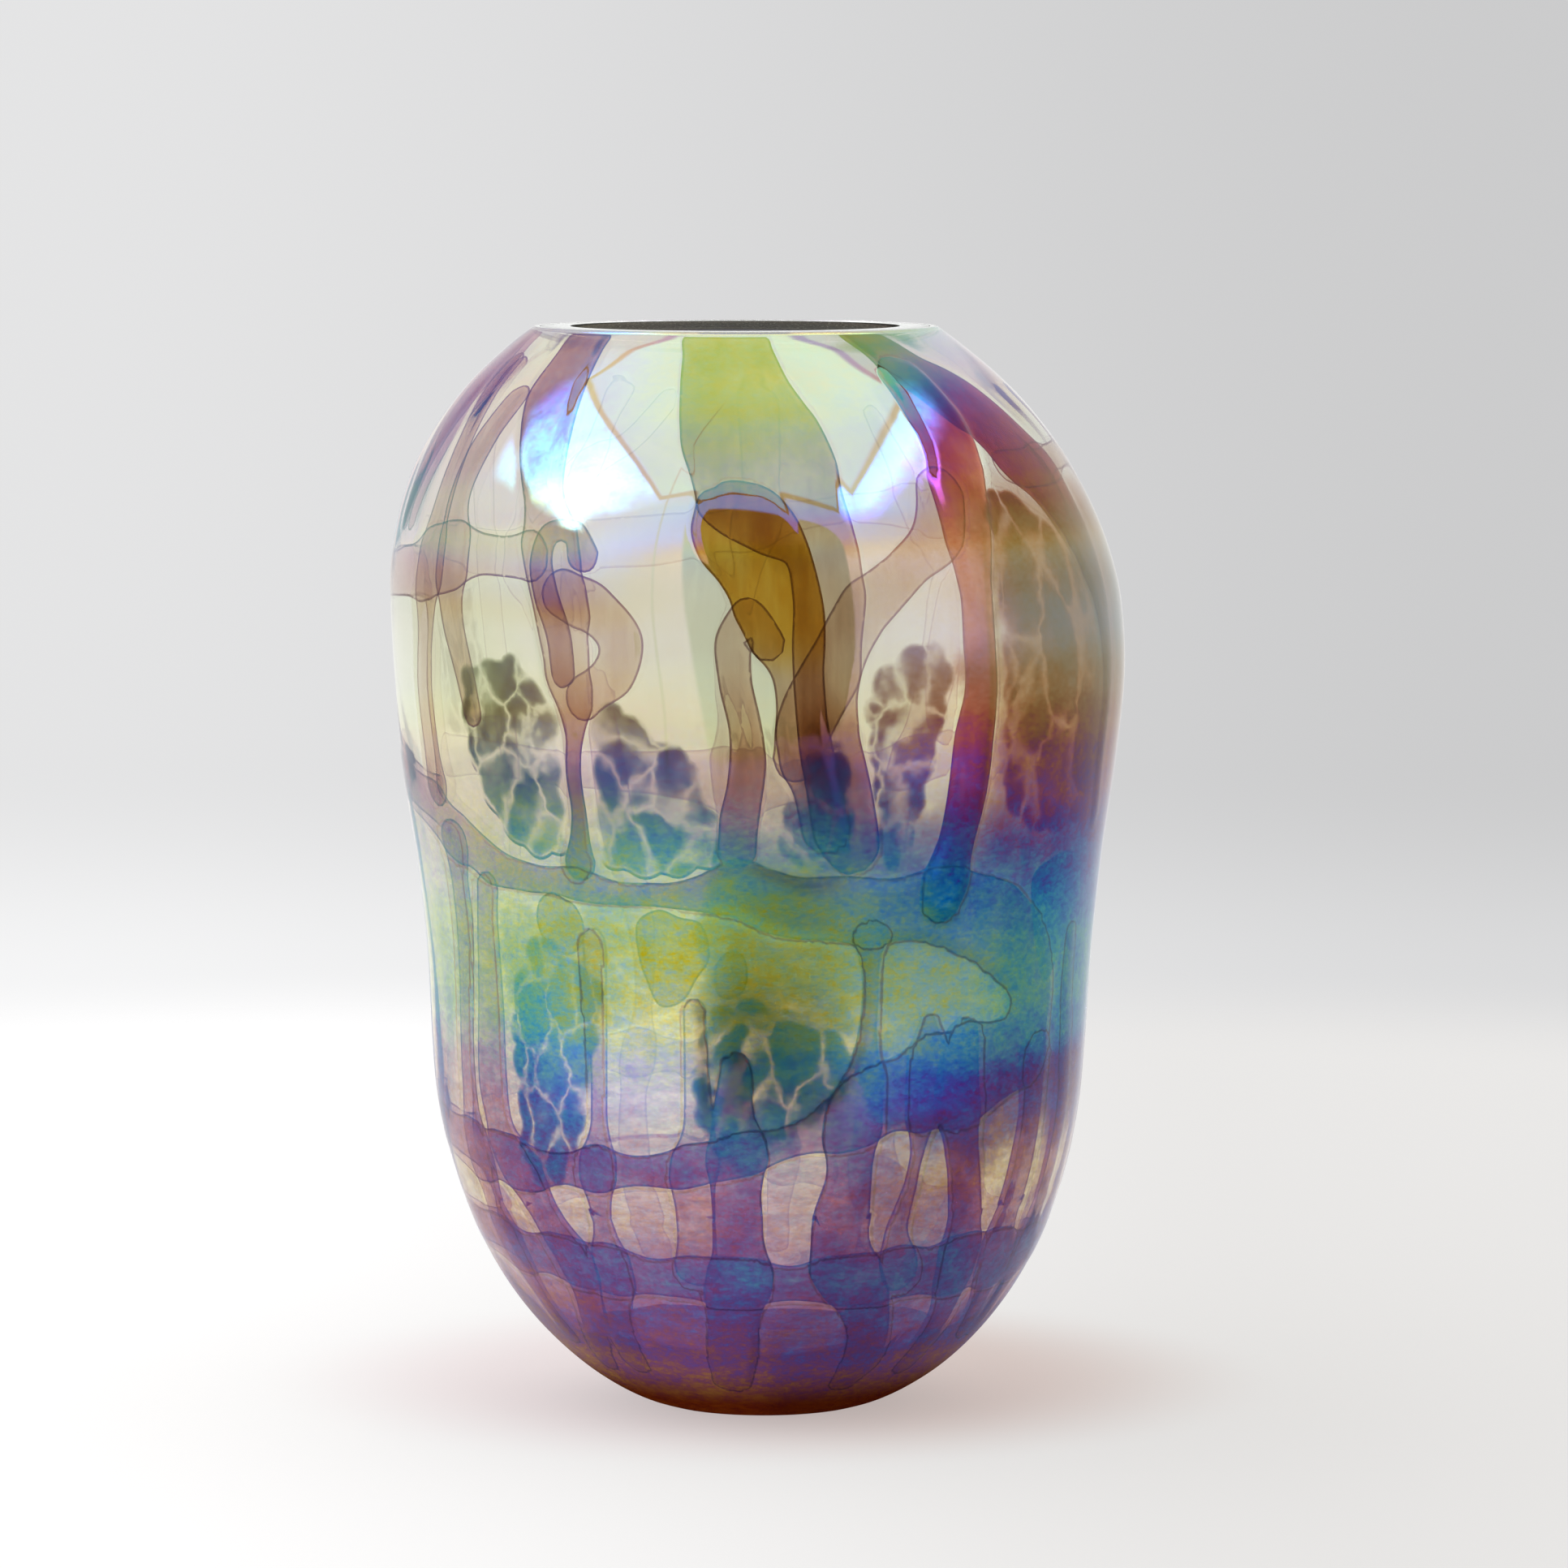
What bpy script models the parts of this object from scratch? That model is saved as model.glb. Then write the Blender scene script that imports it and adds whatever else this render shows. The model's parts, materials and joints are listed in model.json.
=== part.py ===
"""Hand blown art glass vase: amber trails and frit chips cased between two clear gathers.

The vase is one clear inner gather, a set of flat amber trails and frit patches laid on it
in four turns of work, and one clear outer casing. Each piece of glass is its own solid.
Frame: origin at the centre of the ground base, +Z up, front of the vase towards -Y.
Azimuths are degrees from the front, growing towards +X. Heights are along the outside.
"""
import math

import bmesh
import bpy
from mathutils import Vector
from mathutils.geometry import interpolate_bezier

MM = 0.001

# Outside shape, mm: radius and height of each station, and the length of its Bezier handles.
HEIGHT = 280.0
BASE_RADIUS = 26.0
WAIST_RADIUS = 84.8
WAIST_HEIGHT = 98.0
BELLY_RADIUS = 94.7
BELLY_HEIGHT = 203.0
RIM_RADIUS = 52.0
RIM_SLOPE = math.radians(36)

# The blower's hand: the axis leans to the left above the foot and again at the shoulder, mm.
FOOT_LEAN = 1.2
FOOT_LEAN_TOP = 75.0
SHOULDER_LEAN = 6.2
SHOULDER_LEAN_START = 185.0

# The wall from the outside in, mm: each layer's outer and inner depth.
CASING = (0.0, 1.0)
LATE_TRAILS = (1.5, 1.95)
WRAPS = (2.4, 2.85)
RIBS = (3.3, 3.75)
FRIT = (4.15, 4.6)
GATHER_DEPTH = 5.1
WALL = 6.6
FLOOR_EXTRA = 9.0
FLOOR_REACH = 75.0
RIM_THINNING = 0.15
THINNING_START = 200.0
RIM_CLEARANCE = 0.4
FOOT_GATHER_TOP = 13.0
FOOT_GATHER_RINGS = (0, 0.3, 0.55, 0.7, 0.85, 1)

# Facets
SIDES = 32
PROFILE_SAGITTA = 0.17
TRAIL_STEP = 9.5
TRAIL_STRIP = 12.5
PATCH_STEP = 9.5
PATCH_RINGS = 4


def smoothstep(value):
    value = min(max(value, 0.0), 1.0)
    return value * value * (3 - 2 * value)


def lean(height):
    """Sideways drift of the axis at a height, mm."""
    foot = FOOT_LEAN * smoothstep(height / FOOT_LEAN_TOP)
    shoulder_share = (height - SHOULDER_LEAN_START) / (HEIGHT - SHOULDER_LEAN_START)
    shoulder = SHOULDER_LEAN * smoothstep(shoulder_share)
    return -foot - shoulder


class Profile:
    """Outside profile as radius and height along its own length, run on past the rim."""

    def __init__(self):
        waist = (WAIST_RADIUS, WAIST_HEIGHT)
        belly = (BELLY_RADIUS, BELLY_HEIGHT)
        rim = (RIM_RADIUS, HEIGHT)
        rim_run = (math.cos(RIM_SLOPE), -math.sin(RIM_SLOPE))
        foot = ((BASE_RADIUS, 0), (BASE_RADIUS + 20, 4.5), (WAIST_RADIUS - 1.8, 33), waist)
        body = (waist, (WAIST_RADIUS + 1.7, 148), (BELLY_RADIUS, 163), belly)
        rim_handle = (rim[0] + 12 * rim_run[0], rim[1] + 12 * rim_run[1])
        shoulder = (belly, (BELLY_RADIUS, 250), rim_handle, rim)
        points = [Vector((0, 0)), Vector((BASE_RADIUS / 2, 0))]
        for arc in (foot, body, shoulder):
            stations = [Vector((r, z, 0)) for r, z in arc]
            points += [p.to_2d() for p in interpolate_bezier(*stations, 40)[:-1]]
        for run in (0, 6, 12):
            points.append(Vector((rim[0] - run * rim_run[0], rim[1] - run * rim_run[1])))
        self.points = points
        self.lengths = [0.0]
        for before, after in zip(points, points[1:]):
            self.lengths.append(self.lengths[-1] + (after - before).length)
        tangents = [(b - a).normalized() for a, b in zip(points, points[1:])]
        self.normals = []
        for index in range(len(points)):
            before = tangents[max(index - 1, 0)]
            after = tangents[min(index, len(tangents) - 1)]
            along = (before + after).normalized()
            self.normals.append(Vector((along.y, -along.x)))

    def locate(self, length):
        """Radius, height and outward normal at a length along the profile."""
        index = 1
        while self.lengths[index] < length and index < len(self.lengths) - 1:
            index += 1
        span = self.lengths[index] - self.lengths[index - 1]
        share = (length - self.lengths[index - 1]) / span
        point = self.points[index - 1].lerp(self.points[index], share)
        normal = self.normals[index - 1].lerp(self.normals[index], share).normalized()
        return point, normal

    def length_at(self, height):
        """Length along the profile where the outside reaches a height."""
        for index in range(1, len(self.points)):
            low = self.points[index - 1].y
            high = self.points[index].y
            if high >= height > low:
                share = (height - low) / (high - low)
                return self.lengths[index - 1] + share * (self.lengths[index] - self.lengths[index - 1])
        return self.lengths[-1]

    def offset(self, length, depth):
        """Radius and height at a depth below the outside."""
        point, normal = self.locate(length)
        rim_share = (point.y - THINNING_START) / (HEIGHT - THINNING_START)
        thinning = 1 - RIM_THINNING * smoothstep(rim_share)
        return point - normal * depth * thinning

    def rim_length(self, depth, height=HEIGHT):
        """Length where a layer at this depth is cut off by the ground rim."""
        low = self.length_at(HEIGHT - 40)
        high = self.lengths[-1]
        for _ in range(40):
            middle = (low + high) / 2
            if self.offset(middle, depth).y < height:
                low = middle
            else:
                high = middle
        return low

    def stations(self, end):
        """Lengths from the axis to the end, closer together where the profile turns."""
        found = [0.0, BASE_RADIUS]
        while found[-1] < end - 4:
            here = found[-1]
            turn = self.locate(here + 4)[1].angle(self.locate(max(here - 4, 0))[1])
            bend = max(turn / 8, 1 / 450)
            found.append(here + math.sqrt(8 * PROFILE_SAGITTA / bend))
        found[-1] = end
        return found


PROFILE = Profile()


def hand_shape(point):
    """Lean a point of the true revolved shape the way the blown vase leans, in metres."""
    return Vector((point.x + lean(point.z), point.y, point.z)) * MM


def surface(azimuth, length, depth):
    """Point at an azimuth and profile length, a depth inside the outside surface."""
    radius, height = PROFILE.offset(length, depth)
    angle = math.radians(azimuth)
    return hand_shape(Vector((radius * math.sin(angle), -radius * math.cos(angle), height)))


def clear_scene():
    for item in list(bpy.data.objects):
        bpy.data.objects.remove(item, do_unlink=True)


def glass(name, colour, roughness, transmission):
    """Principled glass of one colour."""
    material = bpy.data.materials.new(name)
    material.use_nodes = True
    shader = material.node_tree.nodes["Principled BSDF"]
    shader.inputs["Base Color"].default_value = (*colour, 1)
    shader.inputs["Roughness"].default_value = roughness
    shader.inputs["Metallic"].default_value = 0
    shader.inputs["Transmission Weight"].default_value = transmission
    shader.inputs["IOR"].default_value = 1.5
    return material


def make_object(name, mesh_builder, material):
    """Turn a filled bmesh into a named object with outward faces."""
    bmesh.ops.recalc_face_normals(mesh_builder, faces=mesh_builder.faces)
    mesh = bpy.data.meshes.new(name)
    mesh_builder.to_mesh(mesh)
    mesh_builder.free()
    mesh.shade_smooth()
    mesh.set_sharp_from_angle(angle=math.radians(40))
    mesh.materials.append(material)
    piece = bpy.data.objects.new(name, mesh)
    bpy.context.scene.collection.objects.link(piece)
    return piece


def spun_shell(name, outline, material):
    """Solid of revolution of a half section that starts and ends on the axis."""
    builder = bmesh.new()
    verts = [builder.verts.new((point.x, 0, point.y)) for point in outline]
    edges = [builder.edges.new(pair) for pair in zip(verts, verts[1:])]
    bmesh.ops.spin(
        builder, geom=verts + edges, axis=(0, 0, 1), cent=(0, 0, 0),
        steps=SIDES, angle=2 * math.pi, use_merge=True,
    )
    bmesh.ops.remove_doubles(builder, verts=builder.verts, dist=0.01)
    for vert in builder.verts:
        vert.co = hand_shape(vert.co)
    return make_object(name, builder, material)


def layer_curve(depth, spread=1.0):
    """Half section of one surface of the wall, from the axis up to the ground rim."""
    end = PROFILE.rim_length(depth)
    curve = [PROFILE.offset(length, depth) for length in PROFILE.stations(end)]
    curve = [Vector((point.x * spread, point.y)) for point in curve]
    curve[-1].y = HEIGHT
    return curve


def outer_casing(material):
    """Last clear gather: the outside of the vase, ground flat at the foot and at the rim."""
    facet_allowance = 1 / math.cos(math.pi / SIDES)
    outside = layer_curve(CASING[0])
    inside = layer_curve(CASING[1], facet_allowance)
    return spun_shell("outer_casing", outside + inside[::-1], material)


def inner_gather(material):
    """First clear gather: the inside wall, with the thick floor a blown vase keeps."""
    outside = layer_curve(GATHER_DEPTH)
    inside = []
    for length in PROFILE.stations(PROFILE.rim_length(WALL)):
        floor = FLOOR_EXTRA * (1 - smoothstep(length / FLOOR_REACH))
        inside.append(PROFILE.offset(length, WALL + floor))
    inside[-1].y = HEIGHT
    return spun_shell("inner_gather", outside + inside[::-1], material)


def foot_gather(material):
    """Amber disc under the floor, where the trails were gathered off the iron."""
    end = PROFILE.length_at(FOOT_GATHER_TOP)
    lengths = [end * share for share in FOOT_GATHER_RINGS]
    outside = [PROFILE.offset(length, LATE_TRAILS[0]) for length in lengths]
    inside = [PROFILE.offset(length, LATE_TRAILS[1]) for length in lengths]
    return spun_shell("foot_gather", outside + inside[::-1], material)


def spline(points, closed, step):
    """Catmull-Rom curve through points, with about one point per step of arc."""
    count = len(points)
    spans = count if closed else count - 1
    result = []
    for index in range(spans):
        if closed:
            around = [points[(index + k) % count] for k in (-1, 0, 1, 2)]
        else:
            around = [points[min(max(index + k, 0), count - 1)] for k in (-1, 0, 1, 2)]
        before, start, end, after = around
        pieces = max(1, round(arc_distance(start, end) / step))
        for piece in range(pieces):
            t = piece / pieces
            value = 2 * start + (end - before) * t
            value += (2 * before - 5 * start + 4 * end - after) * t * t
            value += (3 * start - before - 3 * end + after) * t * t * t
            result.append(value / 2)
    if not closed:
        result.append(points[-1])
    return result


def arc_distance(start, end):
    """Distance on the surface between two points of azimuth and profile length, mm."""
    radius = PROFILE.locate((start.y + end.y) / 2)[0].x
    return math.hypot(math.radians(end.x - start.x) * radius, end.y - start.y)


def on_profile(knots, depth, cut_at_rim):
    """Knots of azimuth, height and width as azimuth, profile length and width."""
    placed = []
    for azimuth, height, width in knots:
        placed.append(Vector((azimuth, PROFILE.length_at(height), width)))
    if cut_at_rim:
        placed[0].y = PROFILE.rim_length(depth[0], HEIGHT - RIM_CLEARANCE)
    return placed


def round_end(path, outward):
    """Close one end of a trail with a rounded tip."""
    tip = path[outward]
    inner = path[1 if outward == 0 else -2]
    radius = tip.z / 2
    away = (tip - inner).to_2d() / max(arc_distance(inner, tip), 0.001)
    caps = []
    for share in (0.55, 0.95):
        place = tip.to_2d() + away * radius * share
        caps.append(Vector((place.x, place.y, tip.z * math.sqrt(1 - share * share))))
    return caps


def trail(name, depth, material, knots, cut_at_rim=False):
    """Flat trail of hot glass laid along a path on the wall, as wide as its knots say."""
    path = spline(on_profile(knots, depth, cut_at_rim), False, TRAIL_STEP)
    start_cap = [] if cut_at_rim else round_end(path, 0)[::-1]
    path = start_cap + path + round_end(path, -1)
    strips = max(1, math.ceil(max(knot[2] for knot in knots) / TRAIL_STRIP))
    builder = bmesh.new()
    outer_rows = []
    inner_rows = []
    for index, here in enumerate(path):
        before = path[max(index - 1, 0)]
        after = path[min(index + 1, len(path) - 1)]
        radius = PROFILE.locate(here.y)[0].x
        along = Vector((math.radians(after.x - before.x) * radius, after.y - before.y)).normalized()
        if cut_at_rim and index == 0:
            along = Vector((0, -1))
        outer_row = []
        inner_row = []
        for strip in range(strips + 1):
            across = here.z * (strip / strips - 0.5)
            azimuth = here.x + math.degrees(-along.y * across / radius)
            length = here.y + along.x * across
            outer_row.append(builder.verts.new(surface(azimuth, length, depth[0])))
            inner_row.append(builder.verts.new(surface(azimuth, length, depth[1])))
        outer_rows.append(outer_row)
        inner_rows.append(inner_row)
    for index in range(len(path) - 1):
        for strip in range(strips):
            for rows in (outer_rows, inner_rows):
                low, high = rows[index], rows[index + 1]
                builder.faces.new((low[strip], low[strip + 1], high[strip + 1], high[strip]))
        for side in (0, -1):
            low, high = index, index + 1
            builder.faces.new((
                outer_rows[low][side], outer_rows[high][side],
                inner_rows[high][side], inner_rows[low][side],
            ))
    for row in (0, -1):
        for strip in range(strips):
            builder.faces.new((
                outer_rows[row][strip], outer_rows[row][strip + 1],
                inner_rows[row][strip + 1], inner_rows[row][strip],
            ))
    return make_object(name, builder, material)


def patch(name, depth, material, outline):
    """Sheet of melted frit inside a closed outline of azimuths and heights."""
    corners = [Vector((azimuth, PROFILE.length_at(height), 0)) for azimuth, height in outline]
    rim = spline(corners, True, PATCH_STEP)
    centre = sum(rim, Vector((0, 0, 0))) / len(rim)
    builder = bmesh.new()
    sheets = []
    for level in depth:
        hub = builder.verts.new(surface(centre.x, centre.y, level))
        rings = []
        for ring in range(1, PATCH_RINGS + 1):
            places = [centre.lerp(point, ring / PATCH_RINGS) for point in rim]
            rings.append([builder.verts.new(surface(p.x, p.y, level)) for p in places])
        sheets.append(rings)
        for index in range(len(rim)):
            after = (index + 1) % len(rim)
            builder.faces.new((hub, rings[0][index], rings[0][after]))
            for inner, outer in zip(rings, rings[1:]):
                builder.faces.new((inner[index], outer[index], outer[after], inner[after]))
    for index in range(len(rim)):
        after = (index + 1) % len(rim)
        top, bottom = sheets[0][-1], sheets[1][-1]
        builder.faces.new((top[index], top[after], bottom[after], bottom[index]))
    return make_object(name, builder, material)


def oval(azimuth, height, half_width, half_height, lobes, turn):
    """Outline of a lobed oval chip: azimuth and height of ten points around it."""
    points = []
    for index in range(10):
        angle = 2 * math.pi * index / 10
        swell = 1 + 0.14 * math.sin(lobes * angle + turn)
        across = half_width * swell * math.cos(angle)
        points.append((azimuth + across, height + half_height * swell * math.sin(angle)))
    return points


def ribs(amber):
    """Ribs: the first trails, drawn up and down the vase."""
    trail("leaf_ribbon", RIBS, amber, [
        (-2.5, 280, 20), (0, 268, 28), (3, 255, 37), (6, 244, 37), (9.5, 236, 27), (12.5, 227, 17),
        (12, 215, 13), (11, 203, 12), (11, 192, 12), (12, 180, 13), (14, 166, 14), (15.5, 154, 14),
    ], cut_at_rim=True)
    trail("left_column", RIBS, amber, [
        (-45, 280, 13), (-42, 268, 17), (-39, 255, 16), (-36, 241, 12), (-33.5, 228, 12),
        (-31.5, 215, 11), (-30.5, 203, 10), (-30.5, 192, 8), (-30, 182, 5), (-30.5, 171, 4.5),
        (-30, 160, 4.5), (-30.5, 149, 7),
    ], cut_at_rim=True)
    trail("left_inner_rib", RIBS, amber, [
        (-53, 264, 8), (-55, 252, 9), (-56, 240, 8), (-55.5, 228, 9), (-55.5, 216, 9), (-54.5, 205, 9),
        (-52.5, 194, 8), (-51, 184, 7),
    ])
    trail("left_outer_rib", RIBS, amber, [
        (-66, 272, 7), (-63, 258, 7), (-62, 245, 7), (-62, 232, 8), (-62.5, 218, 9), (-64, 203, 8),
        (-65.5, 188, 9), (-65, 175, 9), (-64, 166, 9),
    ])
    trail("limb_ribbon", RIBS, amber, [
        (-82, 280, 12), (-77, 268, 18), (-76, 256, 15), (-76, 244, 10), (-77, 232, 6),
    ], cut_at_rim=True)
    trail("left_lower_rib", RIBS, amber, [
        (-61, 150, 8), (-61, 130, 8), (-62.5, 112, 7), (-63.5, 94, 7), (-63, 76, 8), (-62, 62, 9),
        (-61, 48, 9), (-59.5, 35, 8), (-58, 23, 8),
    ])
    trail("left_stretch_rib", RIBS, amber, [
        (-52.5, 139, 7), (-53.5, 122, 9), (-54, 106, 11), (-54.5, 90, 12), (-53, 76, 10),
        (-49.5, 66, 11), (-45.5, 56, 11), (-41.5, 46, 9), (-41.5, 36, 8), (-45, 25, 8), (-50, 15, 6),
    ])
    trail("left_narrow_rib", RIBS, amber, [
        (-29, 128, 7), (-29, 112, 6), (-29, 96, 5), (-29.5, 80, 5), (-31, 66, 6), (-31.5, 52, 6),
        (-32, 40, 7), (-35, 28, 8), (-37, 16, 7),
    ])
    trail("front_left_rib", RIBS, amber, [
        (-11, 112, 6), (-11, 95, 6), (-11, 79, 7), (-12.2, 64, 9), (-12.6, 54, 9), (-12.8, 45, 8),
    ])
    trail("front_rib", RIBS, amber, [
        (-3.5, 98, 7), (-4, 84, 9), (-3.7, 70, 11), (-3.5, 56, 11.5), (-4, 44, 12), (-6, 32, 13),
        (-7.5, 21, 13), (-9, 13, 10),
    ])
    trail("front_right_rib", RIBS, amber, [
        (19, 130, 5), (19.5, 114, 4.5), (18.5, 99, 6), (17, 84, 10), (16.8, 70, 12), (15.5, 57, 15),
        (17, 46, 14), (21, 37, 12), (25.5, 28, 12), (27, 19, 12), (25, 12, 8),
    ])
    trail("right_narrow_rib", RIBS, amber, [
        (30.5, 108, 4), (30.5, 94, 6), (30, 80, 4), (29, 66, 4), (27.5, 53, 6), (30, 42, 6),
    ])
    trail("right_rib", RIBS, amber, [
        (38, 104, 5), (37.5, 88, 9), (40.5, 70, 11), (43.5, 54, 11), (45, 40, 9), (46, 26, 9), (44, 15, 7),
    ])
    trail("right_lower_rib", RIBS, amber, [
        (57.5, 96, 9), (57, 80, 10), (56.5, 64, 11), (56, 50, 10), (58, 36, 9), (60, 24, 7),
    ])
    trail("right_limb_rib", RIBS, amber, [
        (67, 126, 7), (67.5, 108, 8), (68.5, 90, 9), (69, 72, 9), (69, 55, 9), (69, 38, 8), (67, 24, 7),
    ])


def wraps(amber):
    """Wraps: the second trails, wound around the vase over the ribs."""
    trail("shoulder_wrap", WRAPS, amber, [
        (-92, 216, 11), (-78, 218, 12), (-66, 220, 13), (-57, 224, 14), (-47, 225, 11), (-38, 225, 10),
    ])
    trail("lobe_ribbon", WRAPS, amber, [
        (-30.5, 216, 8), (-25, 213, 11), (-21, 205, 12), (-22.5, 196, 11), (-27, 190, 8),
    ])
    trail("loop_ribbon", WRAPS, amber, [
        (1.5, 205, 5), (-1, 210, 7), (-3.5, 206, 8), (-3.5, 195, 8), (-2, 182, 8), (-2, 170, 9),
        (-3, 160, 10), (-3.4, 154, 9),
    ])
    trail("crossing_ribbon", WRAPS, amber, [
        (5.5, 176, 8), (8.5, 189, 10), (13, 201, 10), (19, 214, 11), (25, 222, 11), (31, 230, 12),
        (34.5, 241, 11),
    ])
    trail("shoulder_sweep", WRAPS, amber, [
        (37, 280, 11), (46, 271, 16), (55, 262, 22), (62, 249, 23), (66, 235, 20), (68.5, 220, 15),
        (70.5, 204, 10), (71, 188, 8), (70, 172, 7), (71, 156, 7),
    ], cut_at_rim=True)
    trail("belly_wrap", WRAPS, amber, [
        (-92, 167, 12), (-78, 163, 13), (-67, 158, 12), (-57, 152, 11), (-47, 145, 9), (-36, 143, 7),
        (-24, 141, 6), (-13, 141, 7), (-4, 142, 13), (6, 138, 16), (16, 137, 15), (26, 137, 16),
        (36, 135, 20), (45, 130, 23), (52, 121, 21), (54.5, 111, 19), (52, 101, 20), (45, 96, 22),
        (35, 93, 22), (25, 90, 18), (15, 84, 12), (4, 78, 8), (-8, 73.5, 6), (-18, 71, 8), (-30, 70, 8),
        (-42, 69, 9), (-58, 70, 11), (-76, 73, 13), (-92, 76, 12),
    ])
    trail("foot_wrap", WRAPS, amber, [
        (-92, 50, 14), (-76, 49, 13), (-62, 46, 12), (-48, 44.5, 11), (-34, 43, 11), (-20, 41.5, 11),
        (-6, 41, 10), (8, 40.5, 10), (22, 41, 12), (36, 42, 14), (50, 43, 14), (64, 42, 13),
        (78, 43, 12), (92, 46, 12),
    ])


def late_trails(amber, ruby):
    """Late trails: the last turns, laid over the wraps and standing proudest."""
    trail("wedge_trail", LATE_TRAILS, amber, [
        (-0.6, 231, 25), (1.4, 225, 23), (3.2, 218, 19.5), (4.4, 211, 16.5), (5, 204, 13.5),
        (5.6, 196, 10), (6.4, 186, 8.5), (8, 172, 9), (10, 158, 9),
    ])
    trail("hook_trail", LATE_TRAILS, amber, [
        (-27, 226, 9), (-29, 231.5, 7), (-33, 231, 6.5), (-34.5, 224.5, 7), (-33.5, 216, 7.5),
        (-31.5, 206, 7.5), (-31, 196, 7),
    ])
    trail("ruby_trail", LATE_TRAILS, ruby, [
        (40, 268, 13), (41.5, 254, 17), (40, 241, 15), (38.5, 229, 12), (37, 217, 10), (36.5, 204, 10),
        (36.5, 192, 10), (35.5, 180, 12), (35, 168, 12), (34, 157, 11), (32.5, 147, 10), (31.5, 139, 7),
    ])
    trail("shoulder_cross", LATE_TRAILS, amber, [
        (53, 246, 6), (62, 246, 6), (72, 247, 7), (84, 248, 7), (96, 246, 7),
    ])


def frit_patches(umber, olive):
    """Frit melted onto the inner gather in patches, and single chips added late."""
    patch("frit_left", FRIT, umber, [
        (-53, 196), (-46, 199), (-41, 200), (-37, 193), (-33, 187), (-33, 172), (-33, 158), (-34, 150),
        (-41, 149), (-47, 156), (-51, 165), (-54, 180),
    ])
    patch("frit_mid_left", FRIT, umber, [
        (-27, 187), (-22, 189), (-16, 181), (-10, 176), (-9, 168), (-6, 160), (-6, 150), (-11, 146),
        (-19, 145), (-26, 148), (-27, 158), (-27, 173),
    ])
    patch("frit_mid_right", FRIT, umber, [
        (17, 192), (21, 200), (28, 205), (32, 199), (31, 187), (29, 172), (27, 158), (24, 147),
        (20, 149), (19, 162), (17.5, 178),
    ])
    patch("frit_centre", FRIT, umber, [
        (3, 158), (6, 170), (9, 178), (14, 179), (15, 168), (16, 153), (14, 146), (8, 146), (4, 150),
    ])
    patch("frit_right", FRIT, umber, [
        (44, 240), (50, 242), (58, 234), (64, 222), (69, 207), (73, 190), (74, 173), (69, 159),
        (60, 153), (50, 155), (43, 164), (42, 180), (42, 200), (42.5, 222),
    ])
    patch("frit_lower_left", FRIT, umber, [
        (-41, 129), (-34, 124), (-28, 118), (-29, 104), (-31, 90), (-34, 76), (-38, 67), (-44, 62),
        (-49, 70), (-48, 84), (-49, 100), (-48, 114),
    ])
    patch("frit_lower_front", FRIT, umber, [
        (-8, 112), (-2, 115), (5, 112), (12, 108), (17, 101), (16, 90), (10, 82), (3, 75), (-3, 69),
        (-9, 77), (-12, 88), (-11, 101),
    ])
    patch("olive_chip_left", LATE_TRAILS, olive, oval(-35.2, 132.5, 4.4, 8.5, 2, 2.2))
    patch("olive_chip_front", LATE_TRAILS, olive, oval(-14.8, 126, 6.2, 12, 3, 0.6))
    patch("olive_chip_small", LATE_TRAILS, olive, oval(-4.6, 121, 2.6, 7, 2, 1.0))
    patch("teal_chip", LATE_TRAILS, olive, [
        (52, 143), (57, 147), (63, 148), (68, 144), (69, 136), (66, 128), (62, 119), (58.5, 115),
        (55.5, 122), (53, 132),
    ])


def back_of_vase(amber, umber):
    """The far side carries the same work: ribs, wraps and patches in an open lattice."""
    for index in range(7):
        azimuth = 93 + 29 * index
        knots = []
        for step in range(8):
            height = 262 - 34 * step + 5 * math.sin(2.1 * index + step)
            sway = 5 * math.sin(1.7 * index + 0.9 * step)
            width = 9 + 2.6 * math.sin(2.3 * index + 1.6 * step)
            knots.append((azimuth + sway, max(height, 20), width))
        trail(f"back_rib_{index + 1}", RIBS, amber, knots)
    wrap_heights = (("shoulder", 224), ("waist", 160), ("lower", 78), ("foot", 47))
    for turn, (name, height) in enumerate(wrap_heights):
        knots = []
        for step in range(9):
            azimuth = 104 + 19 * step
            sway = 6 * math.sin(1.3 * turn + 0.8 * step)
            width = 11 + 2 * math.sin(1.9 * turn + 1.4 * step)
            knots.append((azimuth, height + sway, width))
        trail(f"back_{name}_wrap", WRAPS, amber, knots)
    trail("back_sweep", LATE_TRAILS, amber, [
        (112, 252, 10), (124, 238, 12), (136, 222, 12), (143, 204, 11), (146, 186, 9), (144, 170, 8),
    ])
    trail("back_hook", LATE_TRAILS, amber, [
        (196, 262, 9), (204, 248, 10), (216, 240, 10), (226, 228, 9), (227, 212, 9), (219, 200, 8),
    ])
    places = ((122, 122, 13, 26), (172, 156, 12, 17), (214, 116, 14, 28), (248, 190, 10, 22))
    for index, (azimuth, height, half_width, half_height) in enumerate(places):
        outline = oval(azimuth, height, half_width, half_height, 3, index)
        patch(f"back_frit_{index + 1}", FRIT, umber, outline)


def build():
    clear_scene()
    clear = glass("clear_glass", (0.93, 0.94, 0.88), 0.02, 1.0)
    amber = glass("amber_trail_glass", (0.45, 0.22, 0.08), 0.08, 0.8)
    ruby = glass("ruby_trail_glass", (0.5, 0.12, 0.1), 0.08, 0.7)
    umber = glass("umber_frit_glass", (0.2, 0.13, 0.09), 0.15, 0.6)
    olive = glass("olive_chip_glass", (0.4, 0.36, 0.08), 0.12, 0.6)
    outer_casing(clear)
    inner_gather(clear)
    foot_gather(amber)
    ribs(amber)
    wraps(amber)
    late_trails(amber, ruby)
    frit_patches(umber, olive)
    back_of_vase(amber, umber)


build()
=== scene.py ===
"""Looks of the hand blown art glass vase: glass, amber trails, frit and the iridescent film."""
import json
import math

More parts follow.
